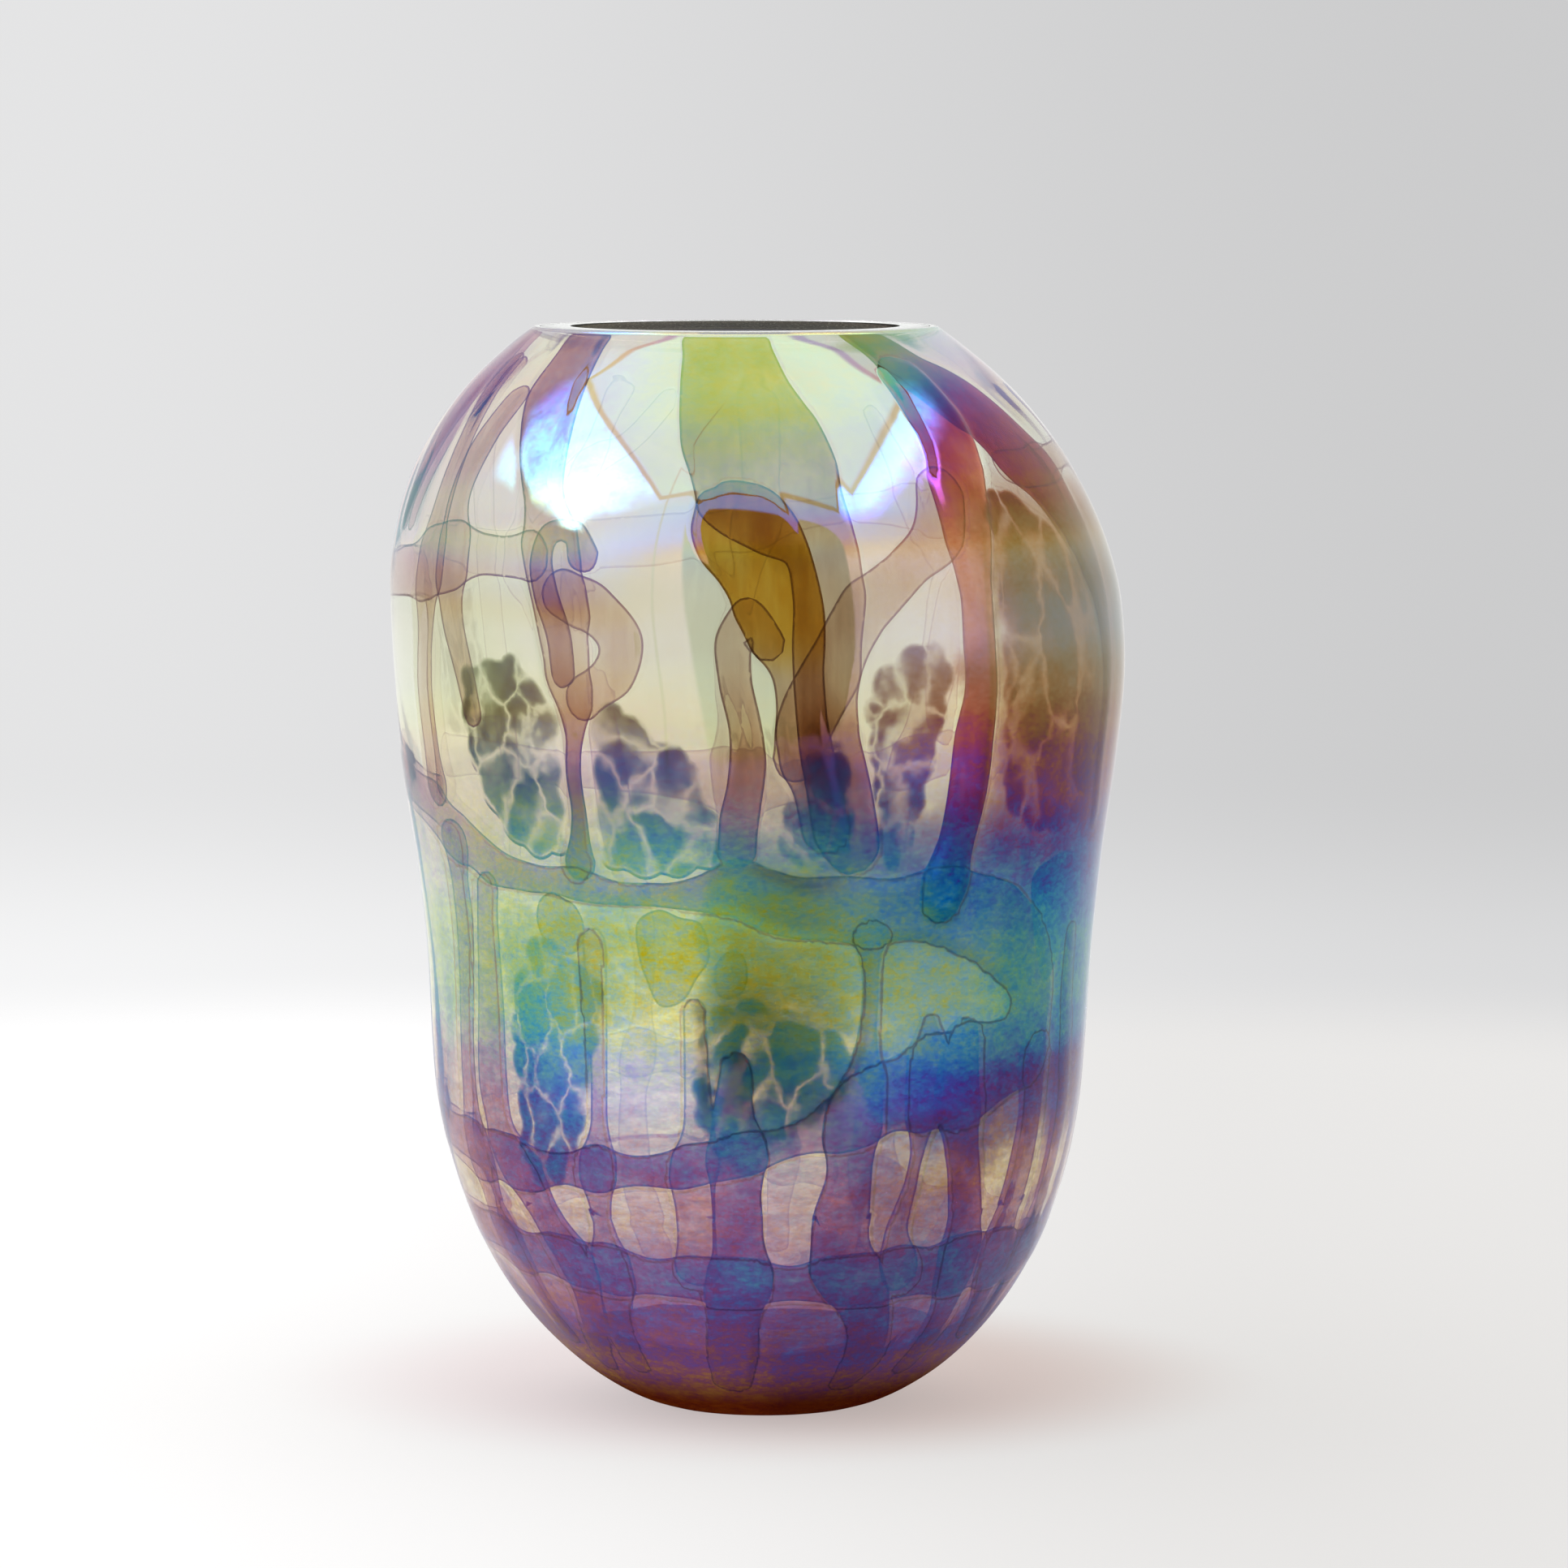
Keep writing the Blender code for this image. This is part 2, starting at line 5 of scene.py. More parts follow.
import bpy
import numpy as np
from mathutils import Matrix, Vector
from mathutils.geometry import delaunay_2d_cdt


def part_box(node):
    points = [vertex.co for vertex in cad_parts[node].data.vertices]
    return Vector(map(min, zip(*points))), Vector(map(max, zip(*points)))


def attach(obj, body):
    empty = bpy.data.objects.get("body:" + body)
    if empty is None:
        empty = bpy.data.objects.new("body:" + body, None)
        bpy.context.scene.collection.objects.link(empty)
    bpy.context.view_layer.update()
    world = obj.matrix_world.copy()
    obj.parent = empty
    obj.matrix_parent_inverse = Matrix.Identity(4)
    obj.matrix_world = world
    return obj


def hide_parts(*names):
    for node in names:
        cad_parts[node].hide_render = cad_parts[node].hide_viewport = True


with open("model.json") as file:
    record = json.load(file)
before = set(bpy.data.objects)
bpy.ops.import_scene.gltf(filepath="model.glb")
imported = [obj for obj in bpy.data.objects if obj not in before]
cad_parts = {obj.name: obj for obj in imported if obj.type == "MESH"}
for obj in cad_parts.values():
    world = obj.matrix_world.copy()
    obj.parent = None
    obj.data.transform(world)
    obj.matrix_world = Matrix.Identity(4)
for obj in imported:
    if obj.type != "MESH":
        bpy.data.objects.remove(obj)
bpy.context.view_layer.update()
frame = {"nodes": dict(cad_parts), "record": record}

MM = 0.001
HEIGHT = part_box("outer_casing")[1].z


# ---------------- reading the CAD frame

# Steps of the curves drawn through the CAD's rings and outlines.
PROFILE_STEP = 0.6 * MM
OUTLINE_STEP = 1.4 * MM
# How squarely the outer face of a thin sheet has to look outwards.
LOOKS_OUT = 0.4
# Points of the CAD closer than this are one point.
SAME = 1e-5


def node_mesh(name):
    """Unique points of a CAD node, and its faces as indices into them."""
    mesh = frame["nodes"][name].data
    places = np.array([tuple(v.co) for v in mesh.vertices])
    points, index = np.unique(np.round(places, 6), axis=0, return_inverse=True)
    index = index.ravel()
    faces = [[int(index[v]) for v in polygon.vertices] for polygon in mesh.polygons]
    return points, faces


def smooth_curve(points, step, closed=False):
    """Catmull-Rom curve through the rows of an array, a row to each step of its first two columns."""
    count = len(points)
    rows = []
    for index in range(count if closed else count - 1):
        if closed:
            p0, p1, p2, p3 = (points[(index + k) % count] for k in (-1, 0, 1, 2))
        else:
            p0, p1, p2, p3 = (points[min(max(index + k, 0), count - 1)] for k in (-1, 0, 1, 2))
        pieces = max(1, int(round(np.linalg.norm((p2 - p1)[:2]) / step)))
        t = (np.arange(pieces) / pieces)[:, None]
        rows.append(0.5 * (2 * p1 + (p2 - p0) * t + (2 * p0 - 5 * p1 + 4 * p2 - p3) * t ** 2
                           + (3 * p1 - p0 - 3 * p2 + p3) * t ** 3))
    if not closed:
        rows.append(points[-1][None])
    return np.vstack(rows)


def running(steps):
    """Sums of the steps so far, from nothing."""
    return np.concatenate(([0], np.cumsum(steps)))


class Shell:
    """One turned surface of the vase, read from the rings of a CAD node."""

    def __init__(self, name, outward):
        points, faces = node_mesh(name)
        middle = np.array([0, 0, HEIGHT / 2])
        used = set()
        for face in faces:
            a, b, c = points[face[0]], points[face[1]], points[face[2]]
            on_rim = min(points[v][2] for v in face) > HEIGHT - SAME
            away = np.cross(b - a, c - a) @ (a + b + c - 3 * middle)
            if not on_rim and (away > 0) == outward:
                used.update(face)
        places = points[sorted(used)]
        rings = {}
        for height in np.unique(np.round(places[:, 2], 5)):
            level = places[np.abs(places[:, 2] - height) < 2 * SAME]
            centre = (level[:, 0].max() + level[:, 0].min()) / 2
            for radius in np.unique(np.round(np.hypot(level[:, 0] - centre, level[:, 1]), 4)):
                rings[(radius, height)] = centre
        order = sorted(rings, key=lambda ring: math.atan2(ring[0], HEIGHT / 2 - ring[1]))
        table = np.array([(radius, height, rings[radius, height]) for radius, height in order])
        table = smooth_curve(table, PROFILE_STEP)
        self.radius, self.height, self.centre = table.T
        self.length = running(np.hypot(np.diff(self.radius), np.diff(self.height)))
        along_r = np.gradient(self.radius, self.length)
        along_z = np.gradient(self.height, self.length)
        size = np.hypot(along_r, along_z)
        self.normal_r, self.normal_z = along_z / size, -along_r / size
        self.normal_r[0] = 0.0

    def at(self, length):
        """Radius, height and outward normal at lengths along the profile."""
        columns = (self.radius, self.height, self.normal_r, self.normal_z)
        return [np.interp(length, self.length, column) for column in columns]


outside = Shell("outer_casing", True)
inside = Shell("inner_gather", False)
LEAN_ORDER = np.argsort(outside.height)


def lean(height):
    """Sideways place of the vase's axis at a height."""
    return np.interp(height, outside.height[LEAN_ORDER], outside.centre[LEAN_ORDER])


def place(azimuth, length, depth):
    """Points at azimuths (radians from the front) and profile lengths, a depth inside the outside."""
    radius, height, normal_r, normal_z = outside.at(length)
    radius = radius - depth * normal_r
    height = height - depth * normal_z
    x = radius * np.sin(azimuth) + lean(height)
    return np.stack([x, -radius * np.cos(azimuth), height], axis=-1)


def unplace(points):
    """Azimuth, profile length and depth of points in the wall."""
    x = points[:, 0] - lean(points[:, 2])
    azimuth = np.arctan2(x, -points[:, 1])
    radius = np.hypot(x, points[:, 1])
    gap_r = radius[:, None] - outside.radius[None]
    gap_z = points[:, 2][:, None] - outside.height[None]
    nearest = np.argmin(gap_r ** 2 + gap_z ** 2, axis=1)
    rows = np.arange(len(points))
    out_r = gap_r[rows, nearest] * outside.normal_r[nearest]
    out_z = gap_z[rows, nearest] * outside.normal_z[nearest]
    return azimuth, outside.length[nearest], -(out_r + out_z)


def outward(azimuth, length):
    """Outward normals of the outside surface, leaving out its lean."""
    normal_r, normal_z = outside.at(length)[2:]
    return np.stack([normal_r * np.sin(azimuth), -normal_r * np.cos(azimuth), normal_z], axis=-1)


def outer_loop(points, faces, azimuth, length):
    """Indices around the edge of the face of a thin sheet that looks out of the vase."""
    normals = outward(azimuth, length)
    edges = {}
    for face in faces:
        a, b, c = points[face[0]], points[face[1]], points[face[2]]
        normal = np.cross(b - a, c - a)
        if normal @ normals[face[0]] > LOOKS_OUT * np.linalg.norm(normal):
            for start, end in zip(face, face[1:] + face[:1]):
                if (end, start) in edges:
                    del edges[end, start]
                else:
                    edges[start, end] = True
    follow = {start: end for start, end in edges}
    longest = []
    while follow:
        loop = [min(follow)]
        while loop[-1] in follow:
            loop.append(follow.pop(loop[-1]))
        if len(loop) > len(longest):
            longest = loop
    return longest[:-1]


class Sheet:
    """A trail or patch read from the frame: its outline on the wall, and its depth and thickness."""

    def __init__(self, name):
        self.name = name
        points, faces = node_mesh(name)
        azimuth, length, depth = unplace(points)
        turn = math.atan2(np.sin(azimuth).mean(), np.cos(azimuth).mean())
        azimuth = turn + (azimuth - turn + math.pi) % (2 * math.pi) - math.pi
        loop = outer_loop(points, faces, azimuth, length)
        self.depth = float(np.median(depth[loop]))
        self.thickness = float(np.percentile(depth, 75) - np.percentile(depth, 25))
        self.radius = float(outside.at(length[loop])[0].mean())
        corners = np.stack([azimuth[loop] * self.radius, length[loop]], axis=1)
        self.outline = smooth_curve(corners, OUTLINE_STEP, closed=True)


# ---------------- shaders

class Tree:
    """Short ways to add and join shader nodes."""

    def __init__(self, owner):
        owner.use_nodes = True
        self.tree = owner.node_tree
        self.tree.nodes.clear()

    def node(self, kind, inputs=(), **settings):
        node = self.tree.nodes.new("ShaderNode" + kind)
        for key, value in settings.items():
            setattr(node, key, value)
        for key, value in dict(inputs).items():
            self.feed(node.inputs[key], value)
        return node

    def feed(self, socket, value):
        if isinstance(value, bpy.types.NodeSocket):
            self.tree.links.new(value, socket)
        else:
            socket.default_value = value

    def math(self, operation, *values, clamp=False):
        node = self.node("Math", enumerate(values), operation=operation)
        node.use_clamp = clamp
        return node.outputs[0]

    def times(self, first, *others):
        """All the values multiplied together."""
        for value in others:
            first = self.math("MULTIPLY", first, value)
        return first

    def add_times(self, first, factor, added):
        """First times factor, plus added."""
        return self.math("MULTIPLY_ADD", first, factor, added)

    def vector(self, operation, *values):
        return self.node("VectorMath", enumerate(values), operation=operation).outputs[0]

    def stretched(self, vector, upward):
        """A place with its height scaled, which draws a noise out or flattens it."""
        return self.vector("MULTIPLY", vector, (1, 1, upward))

    def smooth(self, value, low, high, to_low=0.0, to_high=1.0):
        inputs = {"Value": value, 1: low, 2: high, 3: to_low, 4: to_high}
        return self.node("MapRange", inputs, interpolation_type="SMOOTHSTEP").outputs[0]

    def band(self, value, low, high, soft):
        """One from low to high and zero outside, with soft edges."""
        return self.times(self.smooth(value, low - soft, low + soft),
                          self.smooth(value, high + soft, high - soft))

    def between(self, value, rising, falling):
        """One between a rising and a falling pair of places."""
        return self.times(self.smooth(value, *rising), self.smooth(value, *falling))

    def mix(self, factor, first, second, blend="MIX"):
        node = self.node("Mix", data_type="RGBA", blend_type=blend)
        self.feed(node.inputs[0], factor)
        self.feed(node.inputs[6], first)
        self.feed(node.inputs[7], second)
        return node.outputs[2]

    def blend(self, factor, first, second):
        """Mix two numbers."""
        return self.add_times(self.math("SUBTRACT", second, first), factor, first)

    def noise(self, vector, scale, detail=2.0, roughness=0.5):
        inputs = {"Vector": vector, "Scale": scale, "Detail": detail, "Roughness": roughness}
        return self.node("TexNoise", inputs).outputs[0]

    def stops(self, share, stops, top):
        """A number up to top that follows a share of the height through stops of mm and value."""
        ramp = self.node("ValToRGB", {"Fac": share})
        ramp.color_ramp.interpolation = "EASE"
        elements = ramp.color_ramp.elements
        while len(elements) < len(stops):
            elements.new(0.5)
        for element, (height, level) in zip(elements, stops):
            element.position = height * MM / HEIGHT
            element.color = (level / top,) * 3 + (1,)
        return self.times(ramp.outputs[0], top)

    def colour(self, red, green, blue):
        return self.node("CombineColor", {0: red, 1: green, 2: blue}).outputs[0]

    def split(self, value):
        return self.node("SeparateXYZ", {0: value}).outputs

    def position(self):
        return self.node("NewGeometry").outputs["Position"]

    def attribute(self, name):
        return self.node("Attribute", attribute_name=name).outputs["Fac"]

    def shader_mix(self, factor, first, second):
        return self.node("MixShader", {0: factor, 1: first.outputs[0], 2: second.outputs[0]})

    def glass(self, colour, roughness=0.0):
        inputs = {"Color": colour, "Roughness": roughness, "IOR": GLASS_IOR}
        return self.node("BsdfGlass", inputs)

    def output(self, shader, kind="OutputMaterial"):
        self.node(kind, {"Surface": shader.outputs[0]})


def rgb(red, green, blue):
    return (red, green, blue, 1)


def grey(level):
    return rgb(level, level, level)


def new_material(name):
    material = bpy.data.materials.new(name)
    return material, Tree(material)


WHITE, BLACK = grey(1), grey(0)
GLASS_IOR = 1.5
# Absorbance of the dark line round a trail.
OUTLINE = (0.85, 1.05, 0.95)
# Depths in mm that part the late trails, the wraps and the ribs.
LAYER_DEPTHS = (0, 1.9, 2.65, 9)

# Absorbance of red, green and blue through one trail where it is drawn thin.
SMOKE = (1.0, 1.1, 1.35)
AMBER = (0.42, 0.95, 2.9)
MAUVE = (0.16, 0.29, 0.25)
BROWN = (0.26, 0.44, 0.58)
RUBY = (0.38, 1.0, 1.0)
CORAL = (0.26, 0.92, 1.15)
UMBER = (1.1, 1.2, 1.3)
SLATE = (1.15, 1.05, 1.35)
RUSSET = (0.75, 1.3, 1.45)
OLIVE = (0.22, 0.36, 1.7)
TEAL = (0.9, 0.75, 0.85)
LEAF = (0.21, 0.35, 0.64)
FOOT_AMBER = (0.55, 2.0, 3.4)

# Film: twice its optical thickness in nanometres against height in mm, on the left of the
# vase, up its middle and on its right.
FILM_LEFT = (
    (0, 530), (8, 545), (14, 575), (24, 600), (34, 610), (46, 645), (56, 612), (70, 640), (84, 665),
    (97, 735), (107, 805), (117, 835), (130, 850), (142, 815), (152, 810), (162, 795), (172, 720),
    (182, 560), (190, 400), (205, 330), (218, 640), (228, 830), (238, 820), (247, 740), (257, 690),
    (266, 660), (280, 620),
)
FILM_MIDDLE = (
    (0, 530), (8, 545), (14, 575), (24, 602), (33, 612), (43, 655), (52, 600), (64, 595), (76, 655),
    (86, 700), (96, 745), (106, 805), (116, 832), (128, 835), (137, 800), (146, 765), (155, 715),
    (164, 645), (172, 595), (180, 510), (190, 380), (205, 330), (224, 380), (232, 600), (238, 710),
    (246, 755), (254, 800), (262, 865), (271, 905), (280, 925),
)
FILM_RIGHT = (
    (0, 530), (8, 545), (14, 575), (24, 630), (34, 668), (43, 680), (54, 635), (66, 600), (78, 620),
    (91, 640), (102, 775), (113, 825), (124, 812), (134, 755), (146, 710), (154, 660), (164, 610),
    (173, 570), (182, 500), (192, 430), (206, 330), (222, 380), (232, 450), (240, 510), (248, 560),
    (256, 600), (263, 660), (270, 740), (276, 820), (280, 880),
)
FILM_TOP = 1000
# How far to the side, in metres, the film turns from one of them to the next.
LEFT_TO_MIDDLE = (-0.055, -0.012)
MIDDLE_TO_RIGHT = (0.012, 0.055)
# How far the path wanders from them in nanometres, in broad drifts and in single flecks.
FILM_DRIFT = 100
FILM_SPECKLE = 160
# Wavelengths in nanometres that stand for red, green and blue.
WAVELENGTHS = (660, 545, 450)
# Share of light the film reflects, on average and either side of it as the waves meet.
FILM_MEAN = 0.168
FILM_SWING = 0.155

# Heights in metres over which the skin changes, given as from and to.
SPRAY_HAZE = (0.200, 0.140)
SPECKLED = (0.200, 0.160)
BARE_RISE, BARE_FALL = (0.146, 0.172), (0.232, 0.216)
THIN_RISE, THIN_FALL = (0.225, 0.235), (0.268, 0.250)
BELT_RISE, BELT_FALL = (0.092, 0.108), (0.152, 0.136)
CALM_BELOW = (0.100, 0.078)
DUSK_BELOW = (0.058, 0.022)
NIGHT_BELOW = (0.040, 0.008)
# Painted shade: below these heights the film's reflection is darkened and tinted brown-orange, for the shaded
# floor near the foot.
FOOT_REFLECTION_SHADE = (0.018, 0.004)
MATT_BELOW = (0.185, 0.150)
TINTED_ABOVE = (0.085, 0.105)


def film_path(tree, position):
    """Optical path in the film, with the mottling of its spray."""
    x, _, z = tree.split(position)
    share = tree.times(z, 1 / HEIGHT)
    left, middle, right = (tree.stops(share, film, FILM_TOP) for film in (FILM_LEFT, FILM_MIDDLE, FILM_RIGHT))
    path = tree.blend(tree.smooth(x, *LEFT_TO_MIDDLE), left, middle)
    path = tree.blend(tree.smooth(x, *MIDDLE_TO_RIGHT), path, right)
    broad = tree.noise(position, 24, 3)
    flecks = tree.noise(tree.stretched(position, 1.5), 130, 3, 0.6)
    fine = tree.noise(tree.stretched(position, 1.7), 480, 4, 0.75)
    low = tree.smooth(z, *SPECKLED, 0.35, 1.0)
    path = tree.math("ADD", path, tree.add_times(broad, FILM_DRIFT, -FILM_DRIFT / 2))
    speckle = tree.math("SUBTRACT", tree.add_times(fine, 1.6, flecks), 1.3)
    return tree.add_times(tree.times(speckle, low), FILM_SPECKLE, path)


def film_strength(tree, position):
    """Mean and swing of the film: weak over the shoulder and neck, with less swing on the clear belt."""
    x, _, z = tree.split(position)
    bare = tree.times(tree.between(z, BARE_RISE, BARE_FALL), tree.smooth(x, 0.048, 0.018, 0.8, 1.4))
    thin = tree.between(z, THIN_RISE, THIN_FALL)
    weak = tree.math("MAXIMUM", bare, tree.times(thin, 0.65))
    calm = tree.smooth(z, *CALM_BELOW)
    belt = tree.between(z, BELT_RISE, BELT_FALL)
    mean = tree.add_times(calm, 0.014, tree.add_times(belt, 0.022, FILM_MEAN))
    swing = tree.add_times(calm, 0.014, tree.add_times(belt, -0.034, -FILM_SWING))
    return tree.add_times(weak, -0.065, mean), tree.add_times(weak, 0.08, swing)


def film_colour(tree, position, facing):
    """Reflection colour of the iridescent film, from its thickness and the viewing angle."""
    cosine = tree.math("SUBTRACT", 1, facing)
    sine_squared = tree.math("SUBTRACT", 1, tree.times(cosine, cosine))
    inner_cosine = tree.math("SQRT", tree.add_times(sine_squared, -0.25, 1))
    path = tree.times(film_path(tree, position), inner_cosine)
    mean, swing = film_strength(tree, position)
    channels = []
    for wavelength in WAVELENGTHS:
        wave = tree.math("COSINE", tree.times(path, 2 * math.pi / wavelength))
        channels.append(tree.add_times(wave, swing, mean))
    return tree.colour(*channels)


def trail_web(tree):
    """Where the skin shows the edge of a trail under it, and where it lies over one."""
    seam, covered = 0.0, 0.0
    for layer in range(len(LAYER_DEPTHS) - 1):
        web = tree.attribute(f"web_{layer}")
        seam = tree.math("MAXIMUM", seam, tree.smooth(tree.math("ABSOLUTE", web), 0.6, 0.15))
        covered = tree.math("MAXIMUM", covered, tree.smooth(web, 0.1, -0.5))
    return seam, covered


def skin_veil(tree, position, haze):
    """Colour that the skin takes from light passing it: cloudy low down and dark at the foot."""
    z = tree.split(position)[2]
    cloud = tree.smooth(tree.noise(tree.stretched(position, 2.6), 120, 6, 0.72), 0.35, 0.65)
    low = tree.mix(cloud, rgb(0.70, 0.62, 0.55), rgb(0.92, 0.87, 0.83))
    low = tree.mix(tree.smooth(z, *DUSK_BELOW), low, rgb(0.72, 0.58, 0.68), "MULTIPLY")
    low = tree.mix(tree.smooth(z, *NIGHT_BELOW), low, rgb(0.62, 0.35, 0.45), "MULTIPLY")
    return tree.mix(haze, rgb(0.985, 0.985, 0.97), low)


def skin_material():
    """Outside of the vase: clear glass under a mottled iridescent film, with painted shade on the right of
    the belly and in the reflection at the foot.
    """
    material, tree = new_material("iridescent_skin")
    position = tree.position()
    x, _, z = tree.split(position)
    facing = tree.node("LayerWeight", {"Blend": 0.5}).outputs["Facing"]
    haze = tree.smooth(tree.add_times(tree.noise(position, 45, 3, 0.6), 0.05, z), *SPRAY_HAZE)
    # Painted shade: the film and the light passing the skin are darkened on the right of the belly, away from
    # the light.
    right_side_shade = tree.times(tree.smooth(x, 0.012, 0.048), tree.between(z, (0.072, 0.092), (0.165, 0.145)))

    seam, covered = trail_web(tree)
    film = film_colour(tree, position, facing)
    film = tree.mix(tree.times(seam, tree.add_times(haze, 0.35, 0.2)), film, rgb(0.01, 0.01, 0.05))
    film = tree.mix(tree.times(covered, 0.14), film, BLACK)
    film = tree.mix(tree.times(right_side_shade, 0.22), film, BLACK)
    edge_light = tree.times(tree.math("POWER", facing, 5.0), 0.9, tree.smooth(z, 0.004, 0.05))
    reflected = tree.mix(edge_light, film, WHITE)
    # Painted shade: the reflection at the foot is darkened and tinted brown-orange, as of the shaded floor by
    # the contact.
    reflected = tree.mix(tree.smooth(z, *FOOT_REFLECTION_SHADE), reflected, rgb(0.30, 0.09, 0.03), "MULTIPLY")

    veil = tree.mix(tree.times(right_side_shade, 0.14), skin_veil(tree, position, haze), BLACK)
    tinted = tree.times(haze, 0.7, tree.smooth(z, *TINTED_ABOVE))
    lost = tree.mix(tinted, reflected, rgb(FILM_MEAN, FILM_MEAN, FILM_MEAN * 2.7))
    passed = tree.mix(1.0, tree.mix(1.0, WHITE, lost, "SUBTRACT"), veil, "MULTIPLY")

    rough = tree.smooth(z, *MATT_BELOW, 0.035, 0.25)
    mirror = tree.node("BsdfGlossy", {"Color": reflected, "Roughness": rough})
    window = tree.node("BsdfRefraction", {"Color": passed, "Roughness": 0.0, "IOR": GLASS_IOR})
    front = tree.node("AddShader", {0: mirror.outputs[0], 1: window.outputs[0]})
    backfacing = tree.node("NewGeometry").outputs["Backfacing"]
    tree.output(tree.shader_mix(backfacing, front, tree.glass(passed)))
    return material


def clear_material():
    """Inside wall: bare glass with a trace of straw colour, and painted shade that makes it nearly black just
    inside the back of the lip.
    """
    material, tree = new_material("clear_inner_glass")
    _, y, z = tree.split(tree.position())
    tint = tree.mix(tree.smooth(z, 0.20, 0.245), rgb(0.985, 0.985, 0.81), rgb(0.99, 0.99, 0.93))
    # Painted shade: a dark band on the far side just under the lip, for the shaded inside of the mouth.
    lip = tree.times(tree.smooth(z, 0.2735, 0.2765), tree.smooth(y, -0.004, 0.012))
    tree.output(tree.glass(tree.mix(tree.times(lip, 0.9), tint, rgb(0.12, 0.11, 0.09))))
    return material


def fused_material():
    """Where two gathers fused: no surface is left to see."""
    material, tree = new_material("fused_join")
    tree.output(tree.node("BsdfTransparent"))
    return material


def rim_material():
    """Ground and polished lip."""
    material, tree = new_material("ground_lip")
    grain = tree.noise(tree.position(), 900, 3)
    glass = tree.glass(rgb(0.97, 0.98, 0.97), tree.smooth(grain, 0.3, 0.7, 0.12, 0.3))
    white = tree.node("BsdfDiffuse", {"Color": rgb(0.85, 0.86, 0.84)})
    tree.output(tree.shader_mix(0.35, glass, white))
    return material


def absorbing(tree, *parts):
    """Glass that only absorbs. A part is an absorbance and its load, shared by the two surfaces."""
    channels = []
    for channel in range(3):
        total = 0.0
        for absorbance, load in parts:
            total = tree.add_times(load, -absorbance[channel] / 2, total)
        channels.append(tree.math("EXPONENT", total))
    tree.output(tree.node("BsdfTransparent", {"Color": tree.colour(*channels)}))


# Powder clouds, in metres from the middle and up from the base, and how dense they are.
LIMB_LOAD = 2.0
LIMB_SIDE = (0.046, 0.060)
LIMB_RISE, LIMB_FALL = (0.135, 0.155), (0.250, 0.225)
BELLY_LOAD = 2.4
BELLY_RISE, BELLY_FALL = (0.078, 0.094), (0.166, 0.146)
LEFT_CLOUD_SIDE = ((-0.070, -0.058), (-0.030, -0.040))
LEFT_CLOUD_RISE, LEFT_CLOUD_FALL = (0.090, 0.106), (0.140, 0.130)
POCKET_SIDE, POCKET_HEIGHT = (0.026, 0.052), (0.036, 0.080)


def smoke_material():
    """The join under the trails, where brown powder was picked up in soft clouds."""
    material, tree = new_material("powder_smoke")
    position = tree.position()
    x, y, z = tree.split(position)
    wander = tree.noise(position, 60, 4, 0.6)
    shift = tree.add_times(wander, 0.03, -0.015)
    high, aside = tree.math("ADD", z, shift), tree.math("ADD", x, shift)
    limb = tree.times(tree.smooth(aside, *LIMB_SIDE), tree.between(high, LIMB_RISE, LIMB_FALL))
    left_cloud = tree.times(tree.between(aside, *LEFT_CLOUD_SIDE),
                            tree.between(high, LEFT_CLOUD_RISE, LEFT_CLOUD_FALL))
    right_side = tree.smooth(aside, -0.020, -0.010, 0.06, 1.0)
    spread = tree.math("MAXIMUM", right_side, tree.times(left_cloud, 0.5))
    lower_edge = tree.smooth(aside, 0.022, 0.036, -0.022, 0.012)
    belly = tree.times(spread, tree.smooth(tree.math("ADD", high, lower_edge), *BELLY_RISE),
                       tree.smooth(high, *BELLY_FALL))
    pocket = tree.times(tree.band(aside, *POCKET_SIDE, 3 * MM), tree.band(high, *POCKET_HEIGHT, 3 * MM))
    belly = tree.math("MAXIMUM", belly, tree.times(pocket, 0.4))
    front = tree.times(tree.smooth(y, 0.030, 0.004), tree.smooth(wander, 0.2, 0.7, 0.75, 1.25))
    absorbing(tree, (RUSSET, tree.times(limb, front, LIMB_LOAD)),
              (SMOKE, tree.times(belly, front, BELLY_LOAD)))
    return material


# Heights in metres between which trails grow heavy low down, and gain their top load.
HEAVY_BELOW = (0.205, 0.150)
TOP_ABOVE = (0.232, 0.256)


def trail_material(name, absorbance, strength, thickening=8.0, top=1.0, lower=None, outline=1.0):
    """Coloured glass that only absorbs: denser low down, at its edges and in drawn streaks.

    Above the shoulder the load grows by top. Lower is the absorbance and strength it turns to,
    and the heights it turns between.
    """
    material, tree = new_material(name)
    position = tree.position()
    x, _, z = tree.split(position)
    edge = tree.attribute("edge")
    line = tree.smooth(edge, 0.75, 0.3, 0.0, outline)
    body = tree.smooth(edge, 0.2, 2.6, 0.85, 1.0)
    streak = tree.noise(tree.stretched(position, 0.12), 420, 3, 0.6)
    swell = tree.noise(tree.stretched(position, 0.5), 50, 2)
    left_thinning = tree.smooth(x, -0.084, -0.040, 0.18, 1.0)
    heavy = tree.times(tree.smooth(z, *HEAVY_BELOW), left_thinning)
    depth = tree.add_times(heavy, thickening - 1, 1)
    depth = tree.add_times(tree.smooth(z, *TOP_ABOVE), top - 1, depth)
    load = tree.times(body, tree.add_times(streak, 0.7, 0.65), tree.smooth(swell, 0.3, 0.7, 0.75, 1.25),
                      depth)
    parts = [(absorbance, tree.times(load, strength))]
    if lower:
        lower_absorbance, lower_strength, start, end = lower
        turned = tree.smooth(z, end, start)
        parts = [(absorbance, tree.times(load, strength, tree.math("SUBTRACT", 1, turned))),
                 (lower_absorbance, tree.times(load, lower_strength, turned))]
    absorbing(tree, (OUTLINE, line), *parts)
    return material


# How frit cells are bent out of true: noise scale in cells, and reach in cells.
CELL_WANDER = ((1, 0.75), (4, 0.16))
UNDER_LINE = 3.0


